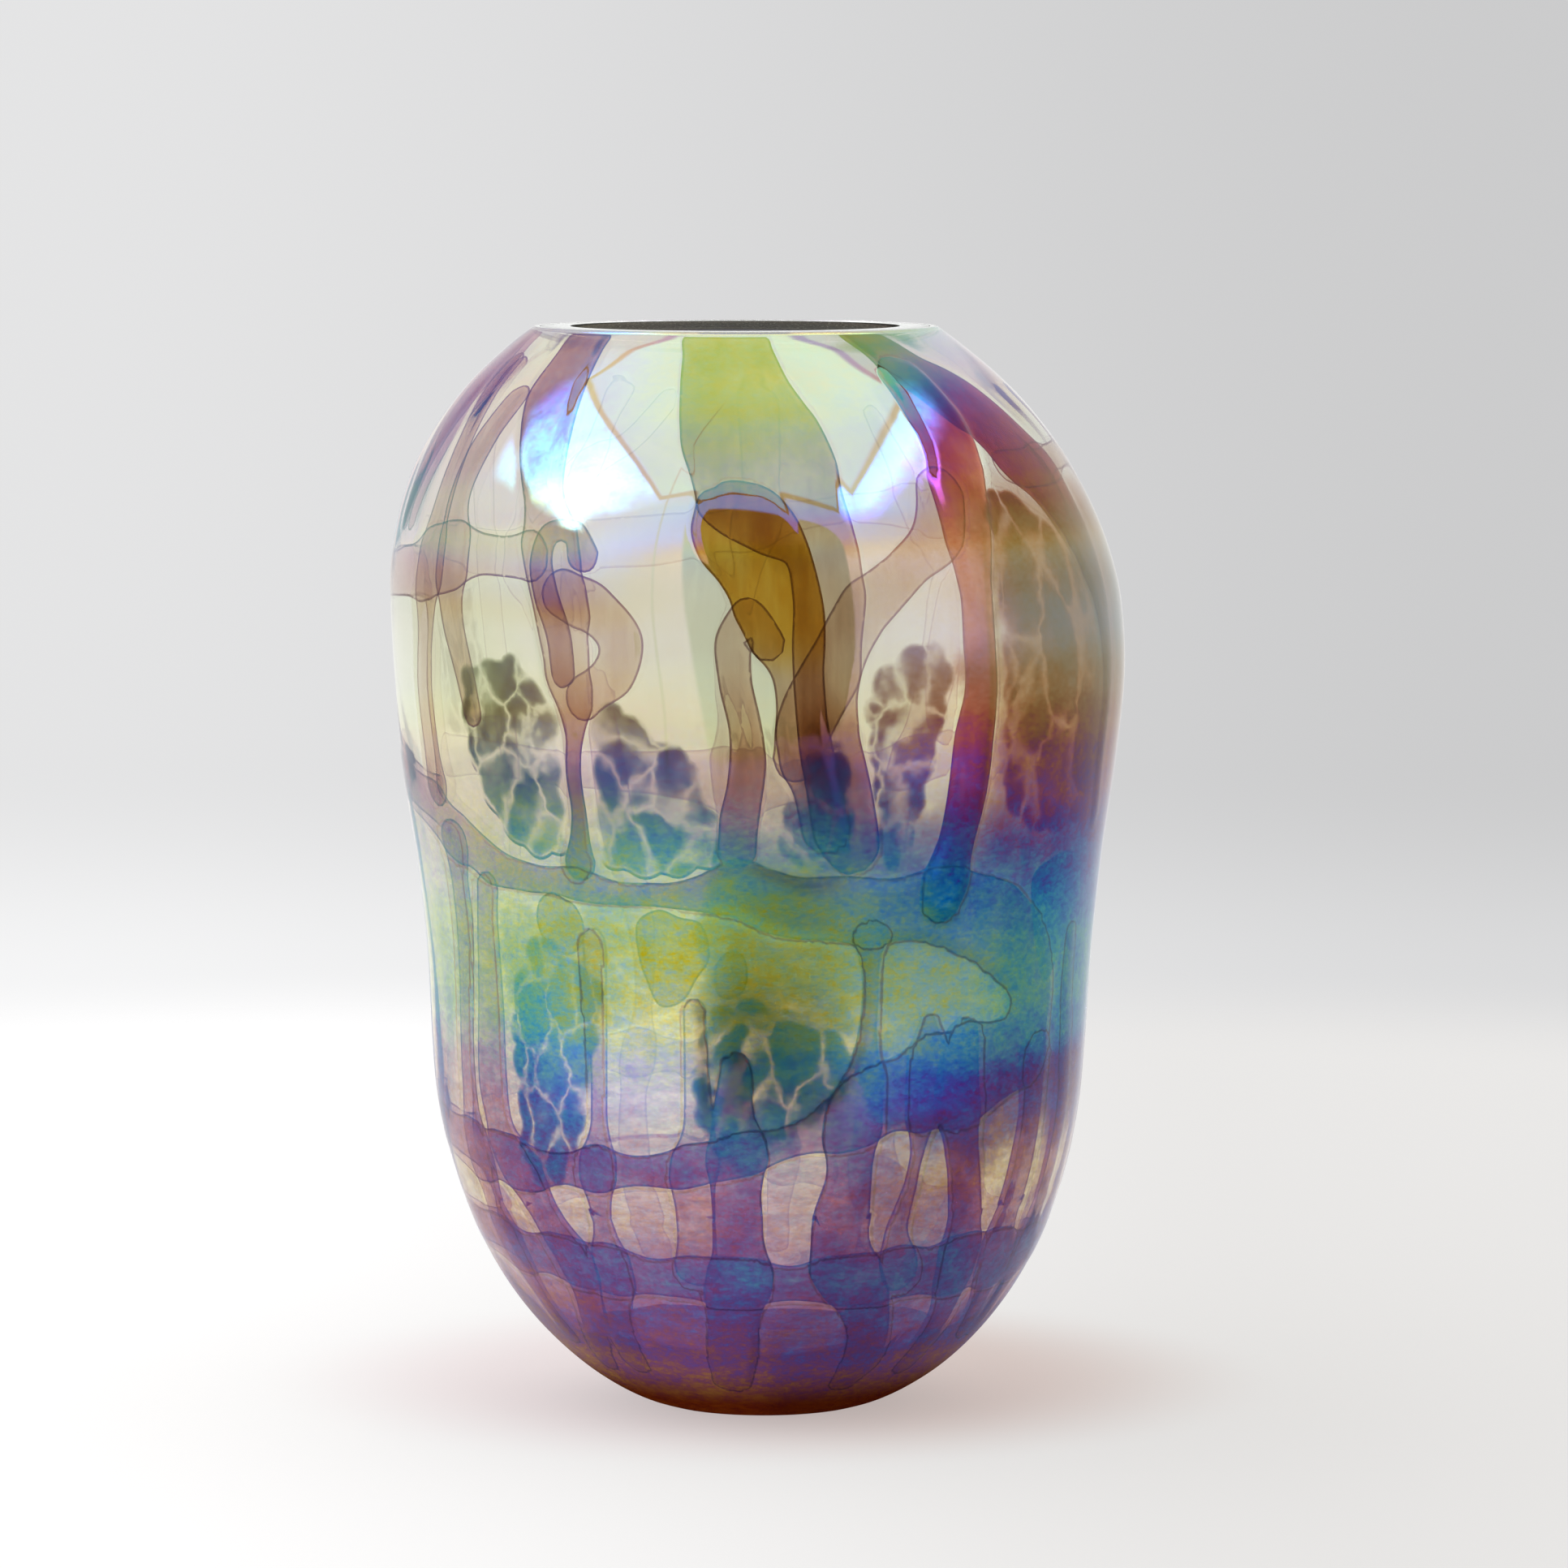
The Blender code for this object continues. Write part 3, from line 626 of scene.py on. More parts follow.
def frit_material(name, absorbance, strength, cell=13.0, stretch=0.75, veins=0.85):
    """Melted frit: dark rounded cells with pale soft borders where the clear glass shows."""
    material, tree = new_material(name)
    position = tree.position()
    size = cell * MM
    bent = position
    for scale, reach in CELL_WANDER:
        wander = tree.node("TexNoise", {"Vector": position, "Scale": scale / size, "Detail": 2.0})
        inputs = {0: wander.outputs["Color"], "Scale": reach * size}
        offset = tree.node("VectorMath", inputs, operation="SCALE")
        bent = tree.vector("ADD", bent, offset.outputs[0])
    cells = {"Vector": tree.stretched(bent, stretch), "Scale": 1 / size}
    near, next_near = (tree.node("TexVoronoi", cells, feature=feature).outputs["Distance"]
                       for feature in ("F1", "F2"))
    width = tree.smooth(tree.noise(position, 110, 2), 0.3, 0.7, 0.12, 0.48)
    body = tree.smooth(tree.math("SUBTRACT", next_near, near), 0.0, width, 1.0 - veins, 1.0)
    edge = tree.attribute("edge")
    grain = tree.add_times(tree.noise(position, 260, 3, 0.6), 0.5, 0.5)
    tone = tree.smooth(tree.noise(position, 70, 2), 0.3, 0.7, 0.6, 1.35)
    load = tree.times(body, tree.smooth(edge, 0.0, 2.0), grain, tone, strength)
    line = tree.times(tree.smooth(edge, 1.0, 0.4), tree.attribute("under"), UNDER_LINE)
    absorbing(tree, (OUTLINE, line), (absorbance, load))
    return material


# ---------------- meshes

def add_object(name, data):
    thing = bpy.data.objects.new(name, data)
    bpy.context.scene.collection.objects.link(thing)
    return thing


def add_piece(name, verts, faces, materials, replaced, slot):
    """A visible piece that stands in for CAD nodes and rides on the vase's one body."""
    mesh = bpy.data.meshes.new(name)
    mesh.from_pydata([tuple(v) for v in verts], [], faces)
    mesh.validate()
    mesh.shade_smooth()
    piece = add_object(name, mesh)
    for material in materials:
        mesh.materials.append(material)
    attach(piece, "root")
    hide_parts(*replaced)
    return piece


def inside_outline(places, outline):
    """Which of the flat places lie inside a closed outline."""
    x, y = places[:, 0][:, None], places[:, 1][:, None]
    x0, y0 = outline[:, 0][None], outline[:, 1][None]
    x1, y1 = np.roll(outline[:, 0], -1)[None], np.roll(outline[:, 1], -1)[None]
    crosses = (y0 > y) != (y1 > y)
    with np.errstate(divide="ignore", invalid="ignore"):
        at = x0 + (y - y0) * (x1 - x0) / (y1 - y0)
    return (np.sum(crosses & (x < at), axis=1) % 2).astype(bool)


def inward_normals(outline):
    """Flat unit normals pointing into a closed outline, whichever way round it runs."""
    ahead = np.roll(outline, -1, axis=0) - np.roll(outline, 1, axis=0)
    normal = np.stack([-ahead[:, 1], ahead[:, 0]], axis=1)
    normal /= np.linalg.norm(normal, axis=1)[:, None] + 1e-12
    area = np.sum(outline[:, 0] * np.roll(outline[:, 1], -1) - outline[:, 1] * np.roll(outline[:, 0], -1))
    return normal if area > 0 else -normal


def nearest_gap(places, others):
    """Distance from each place to the nearest of the others."""
    return np.linalg.norm(places[:, None] - others[None], axis=2).min(axis=1)


# How far a trail widens where it meets another, and over what distance.
FLARE = 2.6 * MM
FLARE_REACH = 3.2 * MM
FLARE_LOOK = 20 * MM


def flare(sheet, others):
    """Widen a trail where it meets others, the way hot trails draw together into a web."""
    outline = sheet.outline
    low = outline.min(axis=0) - FLARE_LOOK
    high = outline.max(axis=0) + FLARE_LOOK
    push = np.zeros(len(outline))
    for other in others:
        if other is sheet:
            continue
        flat = np.stack([other.outline[:, 0] / other.radius * sheet.radius, other.outline[:, 1]], axis=1)
        if (flat.max(axis=0) < low).any() or (flat.min(axis=0) > high).any():
            continue
        gap = nearest_gap(outline, flat)
        gap[inside_outline(outline, flat)] = 0
        push = np.maximum(push, FLARE * np.exp(-gap / FLARE_REACH))
    push = np.where(push > 0.1 * FLARE, push, 0)
    for _ in range(2):
        push = (np.roll(push, 1) + 2 * push + np.roll(push, -1)) / 4
    moved = outline - inward_normals(outline) * push[:, None]
    moved[:, 1] = np.minimum(moved[:, 1], outside.length[-1])
    return moved


SCALLOP = 1.7 * MM
SCALLOP_STEP = 11 * MM
# Part of a lobe that stays inside the outline, and the drift that makes the lobes uneven.
SCALLOP_SET_BACK = 0.55
SCALLOP_DRIFT = (0.35, 0.37)


def scallop(sheet):
    """Round lobes along the edge of a frit patch, one for each melted grain."""
    outline = sheet.outline
    steps = np.linalg.norm(np.diff(outline, axis=0, append=outline[:1]), axis=1)
    along = running(steps[:-1])
    lobes = max(3, round(steps.sum() / SCALLOP_STEP))
    wave = along / steps.sum() * lobes * math.pi
    amount, pace = SCALLOP_DRIFT
    lift = np.abs(np.sin(wave + amount * np.sin(wave * pace))) - SCALLOP_SET_BACK
    return outline - inward_normals(outline) * (SCALLOP * lift)[:, None]


# Patches with thick dark lower edges.
HEAVY_UNDER = ("frit_left", "frit_mid_left")
# Points inside an outline: rows along its edge, then a staggered grid.
EDGE_INSETS = (0.4 * MM, 1.0 * MM)
GRID = 2.6 * MM
EDGE_GAP = 0.3 * MM
# Width in mm over which a sheet rounds off to its edge.
EDGE_ROUND = 1.6
MERGE = 1e-7


def fill_outline(outline):
    """Flat points and triangles that fill a closed outline, the outline's own points first."""
    normals = inward_normals(outline)
    rings = [outline + normals * inset for inset in EDGE_INSETS]
    low, high = outline.min(axis=0), outline.max(axis=0)
    grid_x, grid_y = np.meshgrid(np.arange(low[0], high[0], GRID), np.arange(low[1], high[1], GRID))
    grid_x = grid_x + GRID / 2 * (np.arange(len(grid_x))[:, None] % 2)
    places = np.vstack(rings + [np.stack([grid_x.ravel(), grid_y.ravel()], axis=1)])
    places = places[inside_outline(places, outline)]
    places = places[nearest_gap(places, outline) > EDGE_GAP]
    loop = len(outline)
    corners = [Vector(p) for p in np.vstack([outline, places])]
    edges = [(i, (i + 1) % loop) for i in range(loop)]
    flat, _, triangles = delaunay_2d_cdt(corners, edges, [], 1, MERGE)[:3]
    return np.array([tuple(p) for p in flat]), triangles


def sheet_piece(sheet, material, slot):
    """A thin lens of glass filling a sheet's outline, storing its distance from the edge."""
    outline = sheet.flared
    loop = len(outline)
    flat, triangles = fill_outline(outline)
    azimuth, length = flat[:, 0] / sheet.radius, flat[:, 1]
    rim_points = place(outline[:, 0] / sheet.radius, outline[:, 1], sheet.depth)
    surface = place(azimuth, length, sheet.depth)
    edge = nearest_gap(surface, rim_points) / MM
    edge[:loop] = 0
    bulge = np.sqrt(1 - (1 - np.clip(edge / EDGE_ROUND, 0, 1)) ** 2) * sheet.thickness / 2
    middle = sheet.depth + sheet.thickness / 2
    top = place(azimuth, length, middle - bulge)
    bottom = place(azimuth, length, middle + bulge)
    count = len(flat)
    below = [i if i < loop else count + i - loop for i in range(count)]
    verts = np.vstack([top, bottom[loop:]])
    faces = []
    for a, b, c in triangles:
        faces += [(a, b, c), (below[c], below[b], below[a])]
    piece = add_piece(sheet.name + "_glass", verts, faces, [material], [sheet.name], slot)
    closest = np.argmin(np.linalg.norm(flat[:, None] - outline[None], axis=2), axis=1)
    faces_up = inward_normals(outline)[closest, 1] if sheet.name in HEAVY_UNDER else np.zeros(count)
    under = np.clip(faces_up * 2 - 1, 0, 1)
    for label, values in (("edge", edge), ("under", under)):
        field = piece.data.attributes.new(label, "FLOAT", "POINT")
        field.data.foreach_set("value", np.concatenate([values, values[loop:]]).astype(np.float32))


def turned_rows(rows, sides):
    """Faces between the rings of a turned surface whose first ring is a single pole point."""
    faces = [(0, 1 + k, 1 + (k + 1) % sides) for k in range(sides)]
    for base in range(1, 1 + (rows - 1) * sides, sides):
        for k in range(sides):
            a, b = base + k, base + (k + 1) % sides
            faces.append((a, a + sides, b + sides, b))
    return faces


# Reach in mm of the distance round a trail, and how many points are done at once.
WEB_REACH = 6.0
CHUNK = 4000


def over_sheets(points, sheets):
    """Each sheet with the skin's points near it and their signed distance in mm outside it."""
    azimuth, length = unplace(points)[:2]
    for sheet in sheets:
        middle = sheet.flared[:, 0].mean() / sheet.radius
        turned = middle + (azimuth - middle + math.pi) % (2 * math.pi) - math.pi
        flat = np.stack([turned * sheet.radius, length], axis=1)
        low = sheet.flared.min(axis=0) - WEB_REACH * MM
        high = sheet.flared.max(axis=0) + WEB_REACH * MM
        near = np.flatnonzero(((flat > low) & (flat < high)).all(axis=1))
        for chunk in np.array_split(near, max(1, len(near) // CHUNK)):
            gap = nearest_gap(flat[chunk], sheet.flared) / MM
            gap[inside_outline(flat[chunk], sheet.flared)] *= -1
            yield sheet, chunk, gap


def web_distance(points, sheets):
    """Signed distance in mm from points of the skin to the edge of the nearest of some trails."""
    result = np.full(len(points), WEB_REACH)
    for _, chunk, gap in over_sheets(points, sheets):
        result[chunk] = np.minimum(result[chunk], gap)
    return result


# How far in mm the skin swells over a trail, and over what distance in from its edge.
PROUD = {"ruby_trail": 0.8, "left_column": 0.3, "wedge_trail": 0.3, "hook_trail": 0.35}
PLAIN_PROUD = 0.15
PROUD_RISE = 2.5
# The unevenness of hand work, and the heights it fades over at the foot and rim.
WOBBLE = 0.12 * MM
FOOT_CALM = 0.020
RIM_CALM = 0.012


def swelling(points, sheets):
    """How far in mm the skin swells out over the trails."""
    proud = np.zeros(len(points))
    for sheet, chunk, gap in over_sheets(points, sheets):
        rise = PROUD.get(sheet.name, PLAIN_PROUD) * np.clip(-gap / PROUD_RISE, 0, 1)
        proud[chunk] = np.maximum(proud[chunk], rise)
    return proud


def relief(points, sheets):
    """The skin's points moved out over the trails and by the slight waves of hand work."""
    azimuth, length = unplace(points)[:2]
    waves = np.sin(azimuth * 5 + length * 31) * np.sin(length * 57 + 1.3)
    waves += np.sin(azimuth * 9 - length * 83)
    lift = swelling(points, sheets) * MM + WOBBLE * waves
    lift *= np.clip((HEIGHT - points[:, 2]) / RIM_CALM, 0, 1) * np.clip(points[:, 2] / FOOT_CALM, 0, 1)
    return points + outward(azimuth, length) * lift[:, None]


# How much closer together the sides of a turned piece are at the front of the vase.
FRONT_DETAIL = 0.45


def turned_shell(name, outer_rings, inner_rings, sides, materials, slot, raised=()):
    """Closed solid between two turned surfaces, joined by a flat ground rim.

    It stands in for the CAD node of its name. Its outer surface swells over the raised trails.
    """
    turn = np.arange(sides) * 2 * math.pi / sides
    azimuth = turn - FRONT_DETAIL * np.sin(turn)
    verts = []
    faces = []
    kinds = []
    for kind, (radius, height) in enumerate((outer_rings, inner_rings)):
        start = len(verts)
        verts.append((float(lean(height[0])), 0.0, float(height[0])))
        for r, z in zip(radius[1:], height[1:]):
            x = r * np.sin(azimuth) + lean(z)
            verts.extend(zip(x, -r * np.cos(azimuth), np.full(sides, z)))
        for face in turned_rows(len(radius) - 1, sides):
            face = tuple(start + v for v in face)
            faces.append(face[::-1] if kind == 0 else face)
            kinds.append(kind)
    outer_end = 1 + (len(outer_rings[0]) - 2) * sides
    inner_end = len(verts) - sides
    for k in range(sides):
        after = (k + 1) % sides
        faces.append((outer_end + k, inner_end + k, inner_end + after, outer_end + after))
        kinds.append(2)
    verts = np.array(verts)
    if raised:
        outer_count = 1 + (len(outer_rings[0]) - 1) * sides
        verts[:outer_count] = relief(verts[:outer_count], raised)
    piece = add_piece(name + "_glass", verts, faces, materials, [name], slot)
    for polygon, kind in zip(piece.data.polygons, kinds):
        polygon.material_index = min(kind, len(materials) - 1)
    return piece


# Samples along the profile, and how many of the last ones give its direction at the rim.
PROFILE_SAMPLES = 4000
RIM_RUN = 20


def wall_rings(depth, count):
    """Radius and height of rings at a depth below the outside, ending on the ground rim."""
    length = np.linspace(0, outside.length[-1], PROFILE_SAMPLES)
    radius, height, normal_r, normal_z = outside.at(length)
    radius, height = radius - depth * normal_r, height - depth * normal_z
    run = np.array([radius[-1] - radius[-RIM_RUN], height[-1] - height[-RIM_RUN]])
    run /= np.linalg.norm(run)
    extra = max(0.0, (HEIGHT - height[-1]) / run[1])
    radius = np.append(radius, radius[-1] + run[0] * extra)
    height = np.append(height, HEIGHT)
    radius[0] = 0
    measure = running(np.hypot(np.diff(radius), np.diff(height)))
    wanted = np.linspace(0, measure[-1], count)
    return np.interp(wanted, measure, radius), np.interp(wanted, measure, height)


def bore_rings(count):
    """Radius and height of rings up the inside wall."""
    return inside.at(np.linspace(0, inside.length[-1], count))[:2]


# Depths of the casing's inner face and the inner gather's outer face, with their rings and sides.
CASING_DEPTH = 1.0 * MM
GATHER_DEPTH = 1.1 * MM
CASING_RINGS, CASING_INNER_RINGS, CASING_SIDES = 220, 50, 360
GATHER_RINGS, BORE_RINGS, GATHER_SIDES = 80, 120, 180
# The amber disc under the floor: depths of its two faces, rings and sides.
FOOT_DEPTHS = (1.5 * MM, 1.95 * MM)
FOOT_RINGS, FOOT_SIDES = 60, 90


def build_gathers(trails):
    """The outer casing with its film and the inner gather with the clouds of powder."""
    clear, lip = clear_material(), rim_material()
    casing = turned_shell("outer_casing", wall_rings(0, CASING_RINGS),
                          wall_rings(CASING_DEPTH, CASING_INNER_RINGS), CASING_SIDES,
                          [skin_material(), fused_material(), lip], SLOTS["outer_casing"], trails)
    points = np.array([tuple(v.co) for v in casing.data.vertices])
    for number, (above, below) in enumerate(zip(LAYER_DEPTHS, LAYER_DEPTHS[1:])):
        layer = [sheet for sheet in trails if above < sheet.depth / MM <= below]
        field = casing.data.attributes.new(f"web_{number}", "FLOAT", "POINT")
        field.data.foreach_set("value", web_distance(points, layer).astype(np.float32))
    turned_shell("inner_gather", wall_rings(GATHER_DEPTH, GATHER_RINGS), bore_rings(BORE_RINGS),
                 GATHER_SIDES, [smoke_material(), clear, lip], SLOTS["inner_gather"])


def build_foot():
    """The amber disc of the foot gather, cut off where the CAD's ends."""
    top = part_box("foot_gather")[1].z
    faces = []
    for depth in FOOT_DEPTHS:
        radius, height = wall_rings(depth, FOOT_RINGS)
        faces.append((radius[height < top], height[height < top]))
    amber = trail_material("foot_amber", FOOT_AMBER, 1.2, 1.0)
    turned_shell("foot_gather", *faces, FOOT_SIDES, [amber], SLOTS["foot_gather"])


# Trails and chips unlike the plain mauve: tint, strength, how much they thicken low down and at the
# top, and the tint and strength they turn to lower down, with the heights of the turn.
LOOKS = {
    "wedge_trail": (AMBER, 1.15, 1.5, 1.0, (BROWN, 1.7, 0.194, 0.210)),
    "hook_trail": (BROWN, 1.9, 5.0, 1.0),
    "left_column": (BROWN, 1.0, 7.0, 3.2),
    "left_inner_rib": (BROWN, 1.0, 5.0, 1.6),
    "left_outer_rib": (BROWN, 1.0, 5.0, 1.6),
    "leaf_ribbon": (LEAF, 2.1, 3.0, 1.5, (BROWN, 1.4, 0.226, 0.240)),
    "crossing_ribbon": (BROWN, 0.9, 3.0),
    "loop_ribbon": (BROWN, 1.0, 3.0),
    "lobe_ribbon": (BROWN, 1.0, 3.0),
    "ruby_trail": (CORAL, 1.6, 2.4, 1.9, (RUBY, 2.3, 0.190, 0.212)),
    "shoulder_sweep": (RUBY, 3.0, 1.5, 1.2),
    "shoulder_cross": (BROWN, 0.6, 2.0),
    "limb_ribbon": (MAUVE, 3.0, 3.0),
    "left_narrow_rib": (MAUVE, 0.15, 3.0, 1.0, (MAUVE, 1.0, 0.080, 0.118)),
    "front_left_rib": (MAUVE, 0.15, 2.5, 1.0, (MAUVE, 1.0, 0.070, 0.100)),
    "left_stretch_rib": (MAUVE, 1.0, 5.0),
    "right_narrow_rib": (MAUVE, 1.0, 3.5),
    "right_lower_rib": (MAUVE, 1.0, 3.5),
    "right_limb_rib": (MAUVE, 1.0, 3.0),
    "belly_wrap": (MAUVE, 1.0, 5.5),
    "foot_wrap": (MAUVE, 1.0, 5.0),
    "olive_chip_left": (OLIVE, 1.5, 1.5),
    "olive_chip_front": (OLIVE, 1.5, 1.5),
    "olive_chip_small": (OLIVE, 1.5, 1.5),
    "teal_chip": (TEAL, 2.0, 1.5),
}
# Frit patches: tint, strength, cell size in mm, how much the cells are drawn out, and how clear the
# veins between them are.
FRIT_LOOKS = {
    "frit_right": (RUSSET, 3.5, 12.0, 0.45, 0.9),
    "frit_mid_right": (UMBER, 2.6, 11.0, 0.75),
    "frit_centre": (UMBER, 2.6, 10.0, 0.7),
    "frit_left": (SLATE, 2.4, 11.0, 0.8),
    "frit_mid_left": (SLATE, 2.3, 12.0, 0.85),
    "frit_lower_left": (UMBER, 3.6, 8.0, 0.45),
    "frit_lower_front": (UMBER, 3.8, 10.0, 0.6),
}


TURNED = ("outer_casing", "inner_gather", "foot_gather")
SLOTS = {row["node"]: row["material_slot"] for row in frame["record"]["subparts"]}


def read_sheets():
    """Every trail, frit patch and chip of the CAD, and which of them are trails."""
    sheets = [Sheet(name) for name in sorted(frame["nodes"]) if name not in TURNED]
    trails = [sheet for sheet in sheets if "frit" not in sheet.name and "chip" not in sheet.name]
    for sheet in sheets:
        if "frit" in sheet.name:
            sheet.flared = scallop(sheet)
        elif sheet in trails and sheet.name != "hook_trail":
            sheet.flared = flare(sheet, trails)
        else:
            sheet.flared = sheet.outline
    return sheets, trails


def build_sheets(sheets):
    """A piece of glass for each sheet. The far side and the plain trails share their materials."""
    plain = trail_material("mauve_trail", MAUVE, 1.0, 6.5)
    far = trail_material("back_trail", MAUVE, 0.12, 8.0, outline=0.2)
    far_frit = frit_material("back_frit", UMBER, 0.25)
    for sheet in sheets:
        name = sheet.name
        if name.startswith("back"):
            material = far_frit if "frit" in name else far
        elif "frit" in name:
            material = frit_material(name + "_tint", *FRIT_LOOKS[name])
        elif name in LOOKS:
            material = trail_material(name + "_tint", *LOOKS[name])
        else:
            material = plain
        sheet_piece(sheet, material, SLOTS[name])


# ---------------- studio

# What reflections see overhead, as slopes to the side and to the back: from, to and softness.
CEILING = ((-0.57, 0.61, 0.015), (-0.85, 0.37, 0.015))
CEILING_FRAME = ((-0.61, 0.65, 0.01), (-0.90, 0.41, 0.01))
LEFT_LAMP = ((-1.75, -0.66, 0.30), (-0.80, 0.45, 0.22))
RIGHT_LAMP = ((0.67, 0.88, 0.12), (-0.80, 0.45, 0.20))
LAMP_POWER = 7.0
# The tent's opening for the camera, as slopes to the side and up: middle and half width.
OPENING = ((0.12, 0.30), (0.295, 0.405))
OPENING_CORNER = (0.215, 0.185)
# Slopes nearer the horizon than this are held, so that nothing is divided by zero.
LEAST_SLOPE = 0.02
FRONT_WALL = (-0.1, -0.2)


def rectangle(tree, across, along, spans):
    return tree.times(tree.band(across, *spans[0]), tree.band(along, *spans[1]))


def lamp_light(tree, direction, across, along, z):
    """Brightness of the tent with its two soft lamps, a little uneven."""
    mottle = tree.smooth(tree.noise(direction, 7, 4, 0.6), 0.3, 0.6, 0.5, 1.3)
    lamps = tree.math("MAXIMUM", *(rectangle(tree, across, along, lamp) for lamp in (LEFT_LAMP, RIGHT_LAMP)))
    lamps = tree.times(lamps, tree.smooth(z, 0.15, 0.3), mottle)
    level = tree.add_times(lamps, LAMP_POWER, 1.0)
    return tree.colour(level, level, level)


def tent_walls(tree, aside, y, z):
    """Walls and floor of the tent, with the dark line where they meet."""
    walls = tree.mix(tree.smooth(y, 0.1, -0.4), grey(0.95), rgb(1.3, 1.0, 1.75))
    ground = tree.mix(tree.smooth(aside, -0.4, 0.9), rgb(1.04, 1.04, 1.02), grey(0.66))
    tent = tree.mix(tree.smooth(z, -0.32, -0.29), ground, walls)
    floor_line = tree.band(z, -0.318, -0.296, 0.004)
    return tree.mix(tree.times(floor_line, 0.6), tent, rgb(0.30, 0.12, 0.22))


def camera_opening(tree, aside, up, y):
    """One inside the rounded opening that the camera looks through."""
    squares = []
    for slope, (middle, half) in zip((aside, up), OPENING):
        away = tree.math("ABSOLUTE", tree.math("SUBTRACT", slope, middle))
        beyond = tree.math("MAXIMUM", tree.math("SUBTRACT", away, half), 0)
        squares.append(tree.times(beyond, beyond))
    corner = tree.math("SQRT", tree.math("ADD", *squares))
    return tree.times(tree.smooth(corner, *OPENING_CORNER), tree.smooth(y, *FRONT_WALL))


def tent_light(tree, direction):
    """The white tent round the vase, as its reflections see it."""
    x, y, z = tree.split(direction)
    above = tree.math("MAXIMUM", z, LEAST_SLOPE)
    across, along = tree.math("DIVIDE", x, above), tree.math("DIVIDE", y, above)
    ahead = tree.math("MAXIMUM", tree.times(y, -1), LEAST_SLOPE)
    aside, up = tree.math("DIVIDE", x, ahead), tree.math("DIVIDE", z, ahead)
    overhead = tree.smooth(z, 0.1, 0.15)
    ceiling = tree.times(rectangle(tree, across, along, CEILING), overhead)
    frame_edge = tree.math("SUBTRACT", rectangle(tree, across, along, CEILING_FRAME), ceiling, clamp=True)
    corner_line = tree.times(tree.band(aside, -0.605, -0.585, 0.008), tree.smooth(z, -0.3, -0.28),
                             tree.smooth(y, *FRONT_WALL))
    lamps = lamp_light(tree, direction, across, along, z)
    light = tree.mix(1.0, tent_walls(tree, aside, y, z), lamps, "MULTIPLY")
    light = tree.mix(ceiling, light, grey(1.6))
    light = tree.mix(tree.times(frame_edge, overhead), light, rgb(0.28, 0.20, 0.15))
    light = tree.mix(tree.times(corner_line, 0.7), light, rgb(0.45, 0.30, 0.25))
    return tree.mix(camera_opening(tree, aside, up, y), light, grey(0.04))


def back_wall(tree, direction):
    """The pale wall behind the vase: darker to the right, glowing where the paper sweeps up."""
    x, _, z = tree.split(direction)
    wall = tree.mix(tree.smooth(x, -0.11, 0.11), rgb(0.78, 0.78, 0.785), rgb(0.60, 0.60, 0.605))
    glow = tree.smooth(z, -0.088, -0.118, 1.0, 1.18)
    return tree.node("VectorMath", {0: wall, "Scale": glow}, operation="SCALE").outputs[0]


def build_world():
    """Light for reflections, light for paper, and the wall that straight rays see."""
    world = bpy.data.worlds.new("light_tent")
    bpy.context.scene.world = world
    tree = Tree(world)
    direction = tree.node("TexCoord").outputs["Generated"]
    rays = tree.node("LightPath").outputs
    straight = tree.math("MAXIMUM", rays["Is Camera Ray"], rays["Is Transmission Ray"])
    seen = tree.mix(straight, tent_light(tree, direction), back_wall(tree, direction))
    soft_light = tree.mix(tree.smooth(tree.split(direction)[2], 0.0, 0.8), grey(0.9), grey(1.12))
    seen = tree.mix(rays["Is Diffuse Ray"], seen, soft_light)
    background = tree.node("Background", {"Color": seen, "Strength": 1.0})
    tree.output(background, "OutputWorld")
    world.cycles.sampling_method = "NONE"


FLOOR_RADIUS = 1.1
FLOOR_SIDES = 96
FLOOR_FADE = (0.72, 1.0)
FLOOR_DROP = 0.2 * MM
# Painted shadow of the vase round its foot, warm and stronger to the right: middle of the patch, and the
# distances it fades over.
FOOT_SHADOW_MIDDLE = (0.0, 0.035, 0.0)
FOOT_SHADOW_FADE = (0.140, 0.065)
# Share of the paper that glows: painted light that lightens the shadows on it.
GLOW_SHARE = 0.6


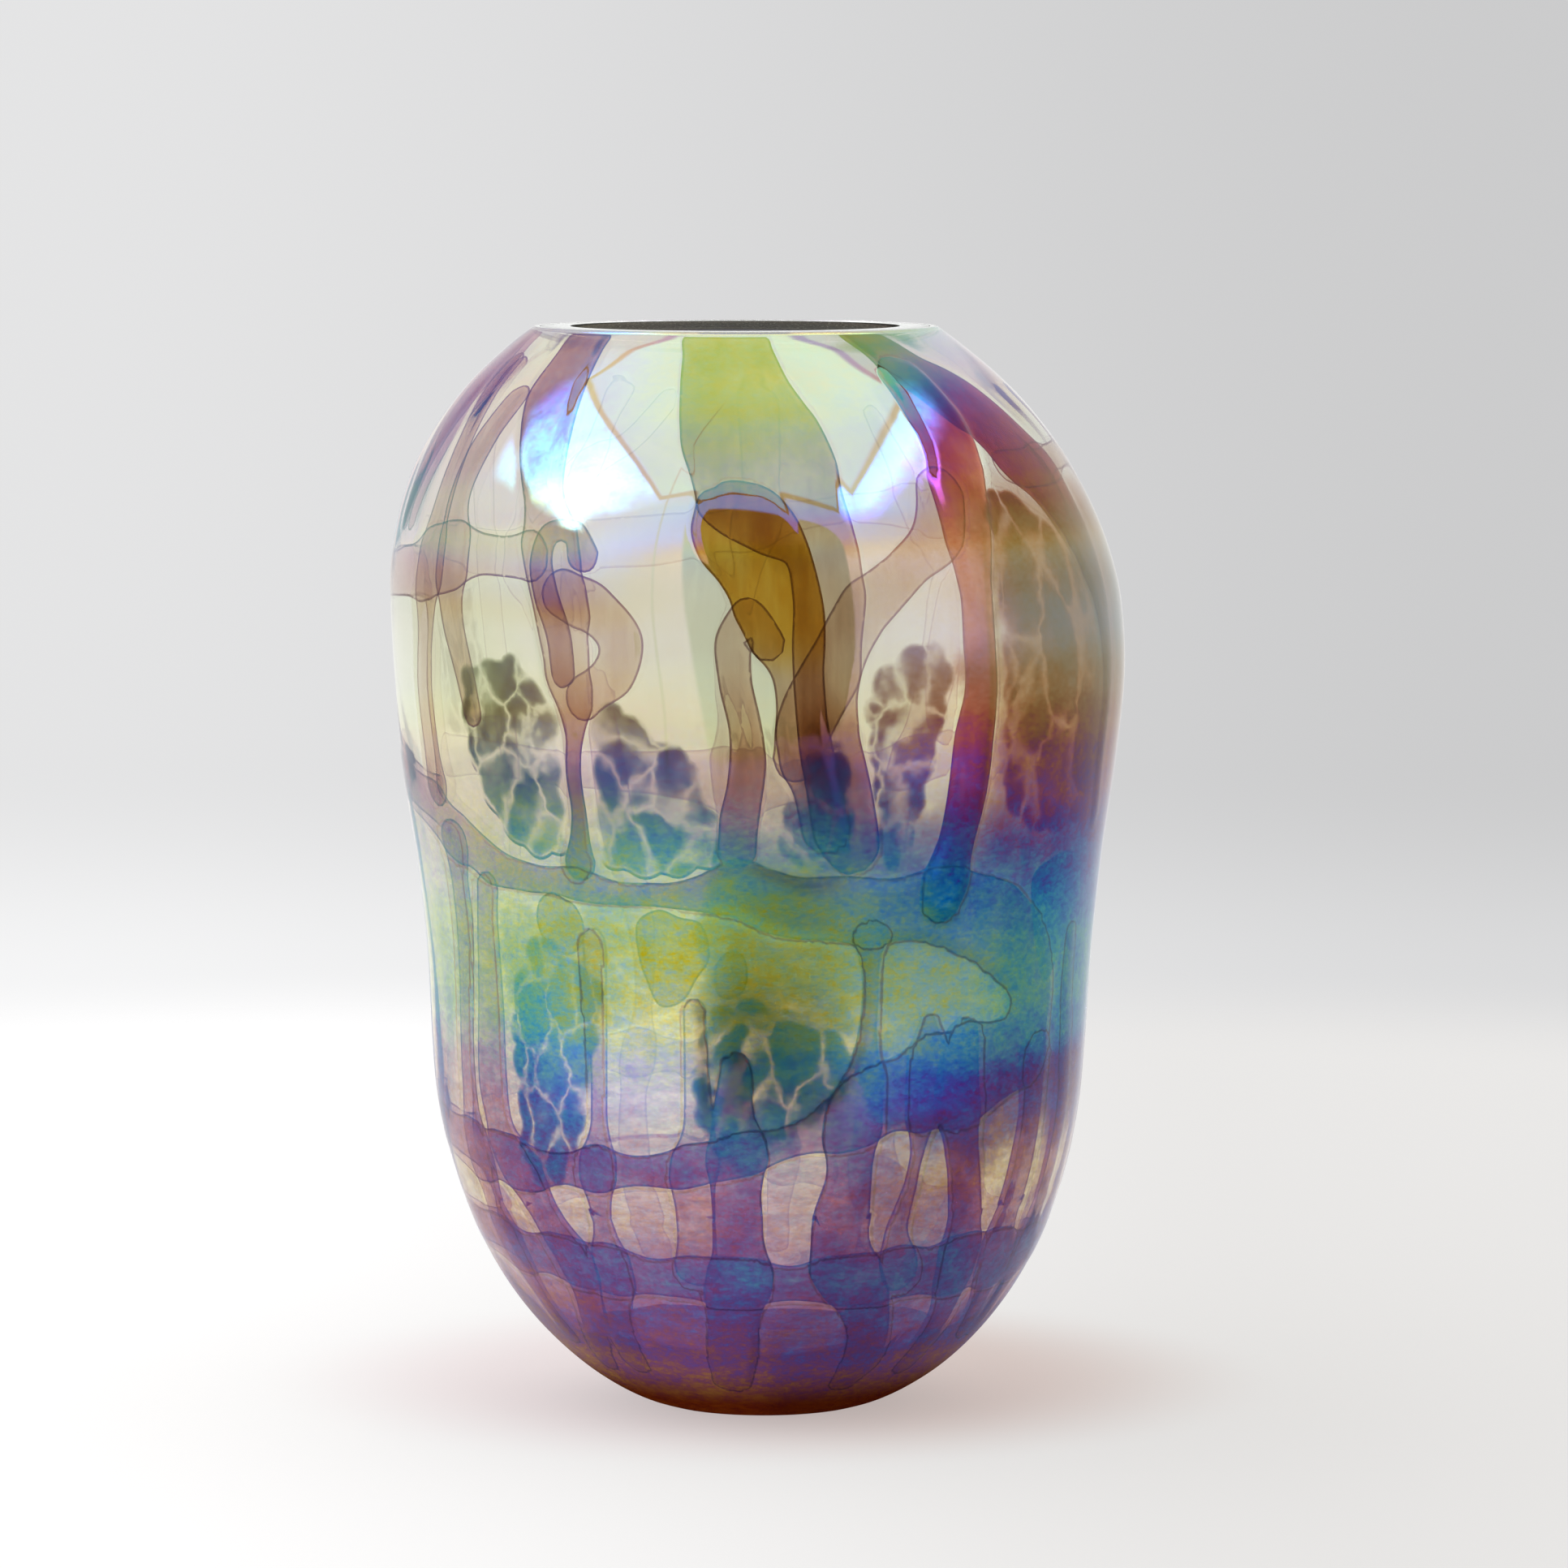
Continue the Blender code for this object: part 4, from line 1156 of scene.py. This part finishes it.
def paper_material():
    """White paper with painted light: painted shade darker to the right, a painted warm shadow round the foot
    and a part glow; it fades into the back wall the way a paper sweep does.
    """
    material, tree = new_material("studio_paper")
    position = tree.position()
    x = tree.split(position)[0]
    # Painted shade: the paper grows darker towards the right, as the light falls from the left.
    shaded_paper = tree.mix(tree.smooth(x, -0.19, 0.16), rgb(0.99, 0.985, 0.985), rgb(0.77, 0.76, 0.75))
    from_foot = tree.node("VectorMath", {0: position, 1: FOOT_SHADOW_MIDDLE}, operation="DISTANCE")
    # Painted shadow: a warm pinkish shade round the foot, darker on the right side.
    painted_foot_shadow = tree.mix(tree.smooth(x, -0.06, 0.06), rgb(0.95, 0.87, 0.88), rgb(0.86, 0.75, 0.72))
    shaded_paper = tree.mix(tree.smooth(from_foot.outputs["Value"], *FOOT_SHADOW_FADE), shaded_paper, painted_foot_shadow, "MULTIPLY")
    lit = tree.node("BsdfDiffuse", {"Color": shaded_paper})
    # Painted light: part of the paper glows, which lightens the shadows on it.
    glow = tree.node("Emission", {"Color": shaded_paper, "Strength": 1.06})
    distance = tree.node("VectorMath", {0: position}, operation="LENGTH").outputs["Value"]
    open_air = tree.node("BsdfTransparent")
    paper = tree.shader_mix(GLOW_SHARE, lit, glow)
    tree.output(tree.shader_mix(tree.smooth(distance, *FLOOR_FADE), paper, open_air))
    return material


def build_floor():
    mesh = bpy.data.meshes.new("studio_floor")
    turns = np.linspace(0, 2 * math.pi, FLOOR_SIDES, endpoint=False)
    edge = [(FLOOR_RADIUS * math.cos(turn), FLOOR_RADIUS * math.sin(turn), 0) for turn in turns]
    mesh.from_pydata(edge, [], [tuple(range(FLOOR_SIDES))])
    mesh.materials.append(paper_material())
    floor = add_object("studio_floor", mesh)
    floor.location.z = -FLOOR_DROP
    floor.visible_glossy = False


CAMERA_PLACE = (0.0052, -1.96, 0.3403)
CAMERA_PITCH = math.radians(5.219)
CAMERA_LENS = 174.2


def build_camera():
    data = bpy.data.cameras.new("camera")
    data.lens = CAMERA_LENS
    data.sensor_width = 36
    data.clip_end = 100
    camera = add_object("camera", data)
    camera.location = CAMERA_PLACE
    camera.rotation_euler = (math.pi / 2 - CAMERA_PITCH, 0, 0)
    bpy.context.scene.camera = camera


# Enough bounces for light to pass every layer of glass, front and back.
LIGHT_PATHS = {
    "max_bounces": 24, "transmission_bounces": 20, "glossy_bounces": 6, "diffuse_bounces": 3,
    "transparent_max_bounces": 64, "caustics_reflective": False, "caustics_refractive": True,
    "blur_glossy": 0.0,
}


def set_light_paths():
    bpy.context.scene.view_settings.view_transform = "Standard"
    for setting, value in LIGHT_PATHS.items():
        setattr(bpy.context.scene.cycles, setting, value)


sheets, trails = read_sheets()
build_gathers(trails)
build_sheets(sheets)
build_foot()
build_world()
build_floor()
build_camera()
set_light_paths()
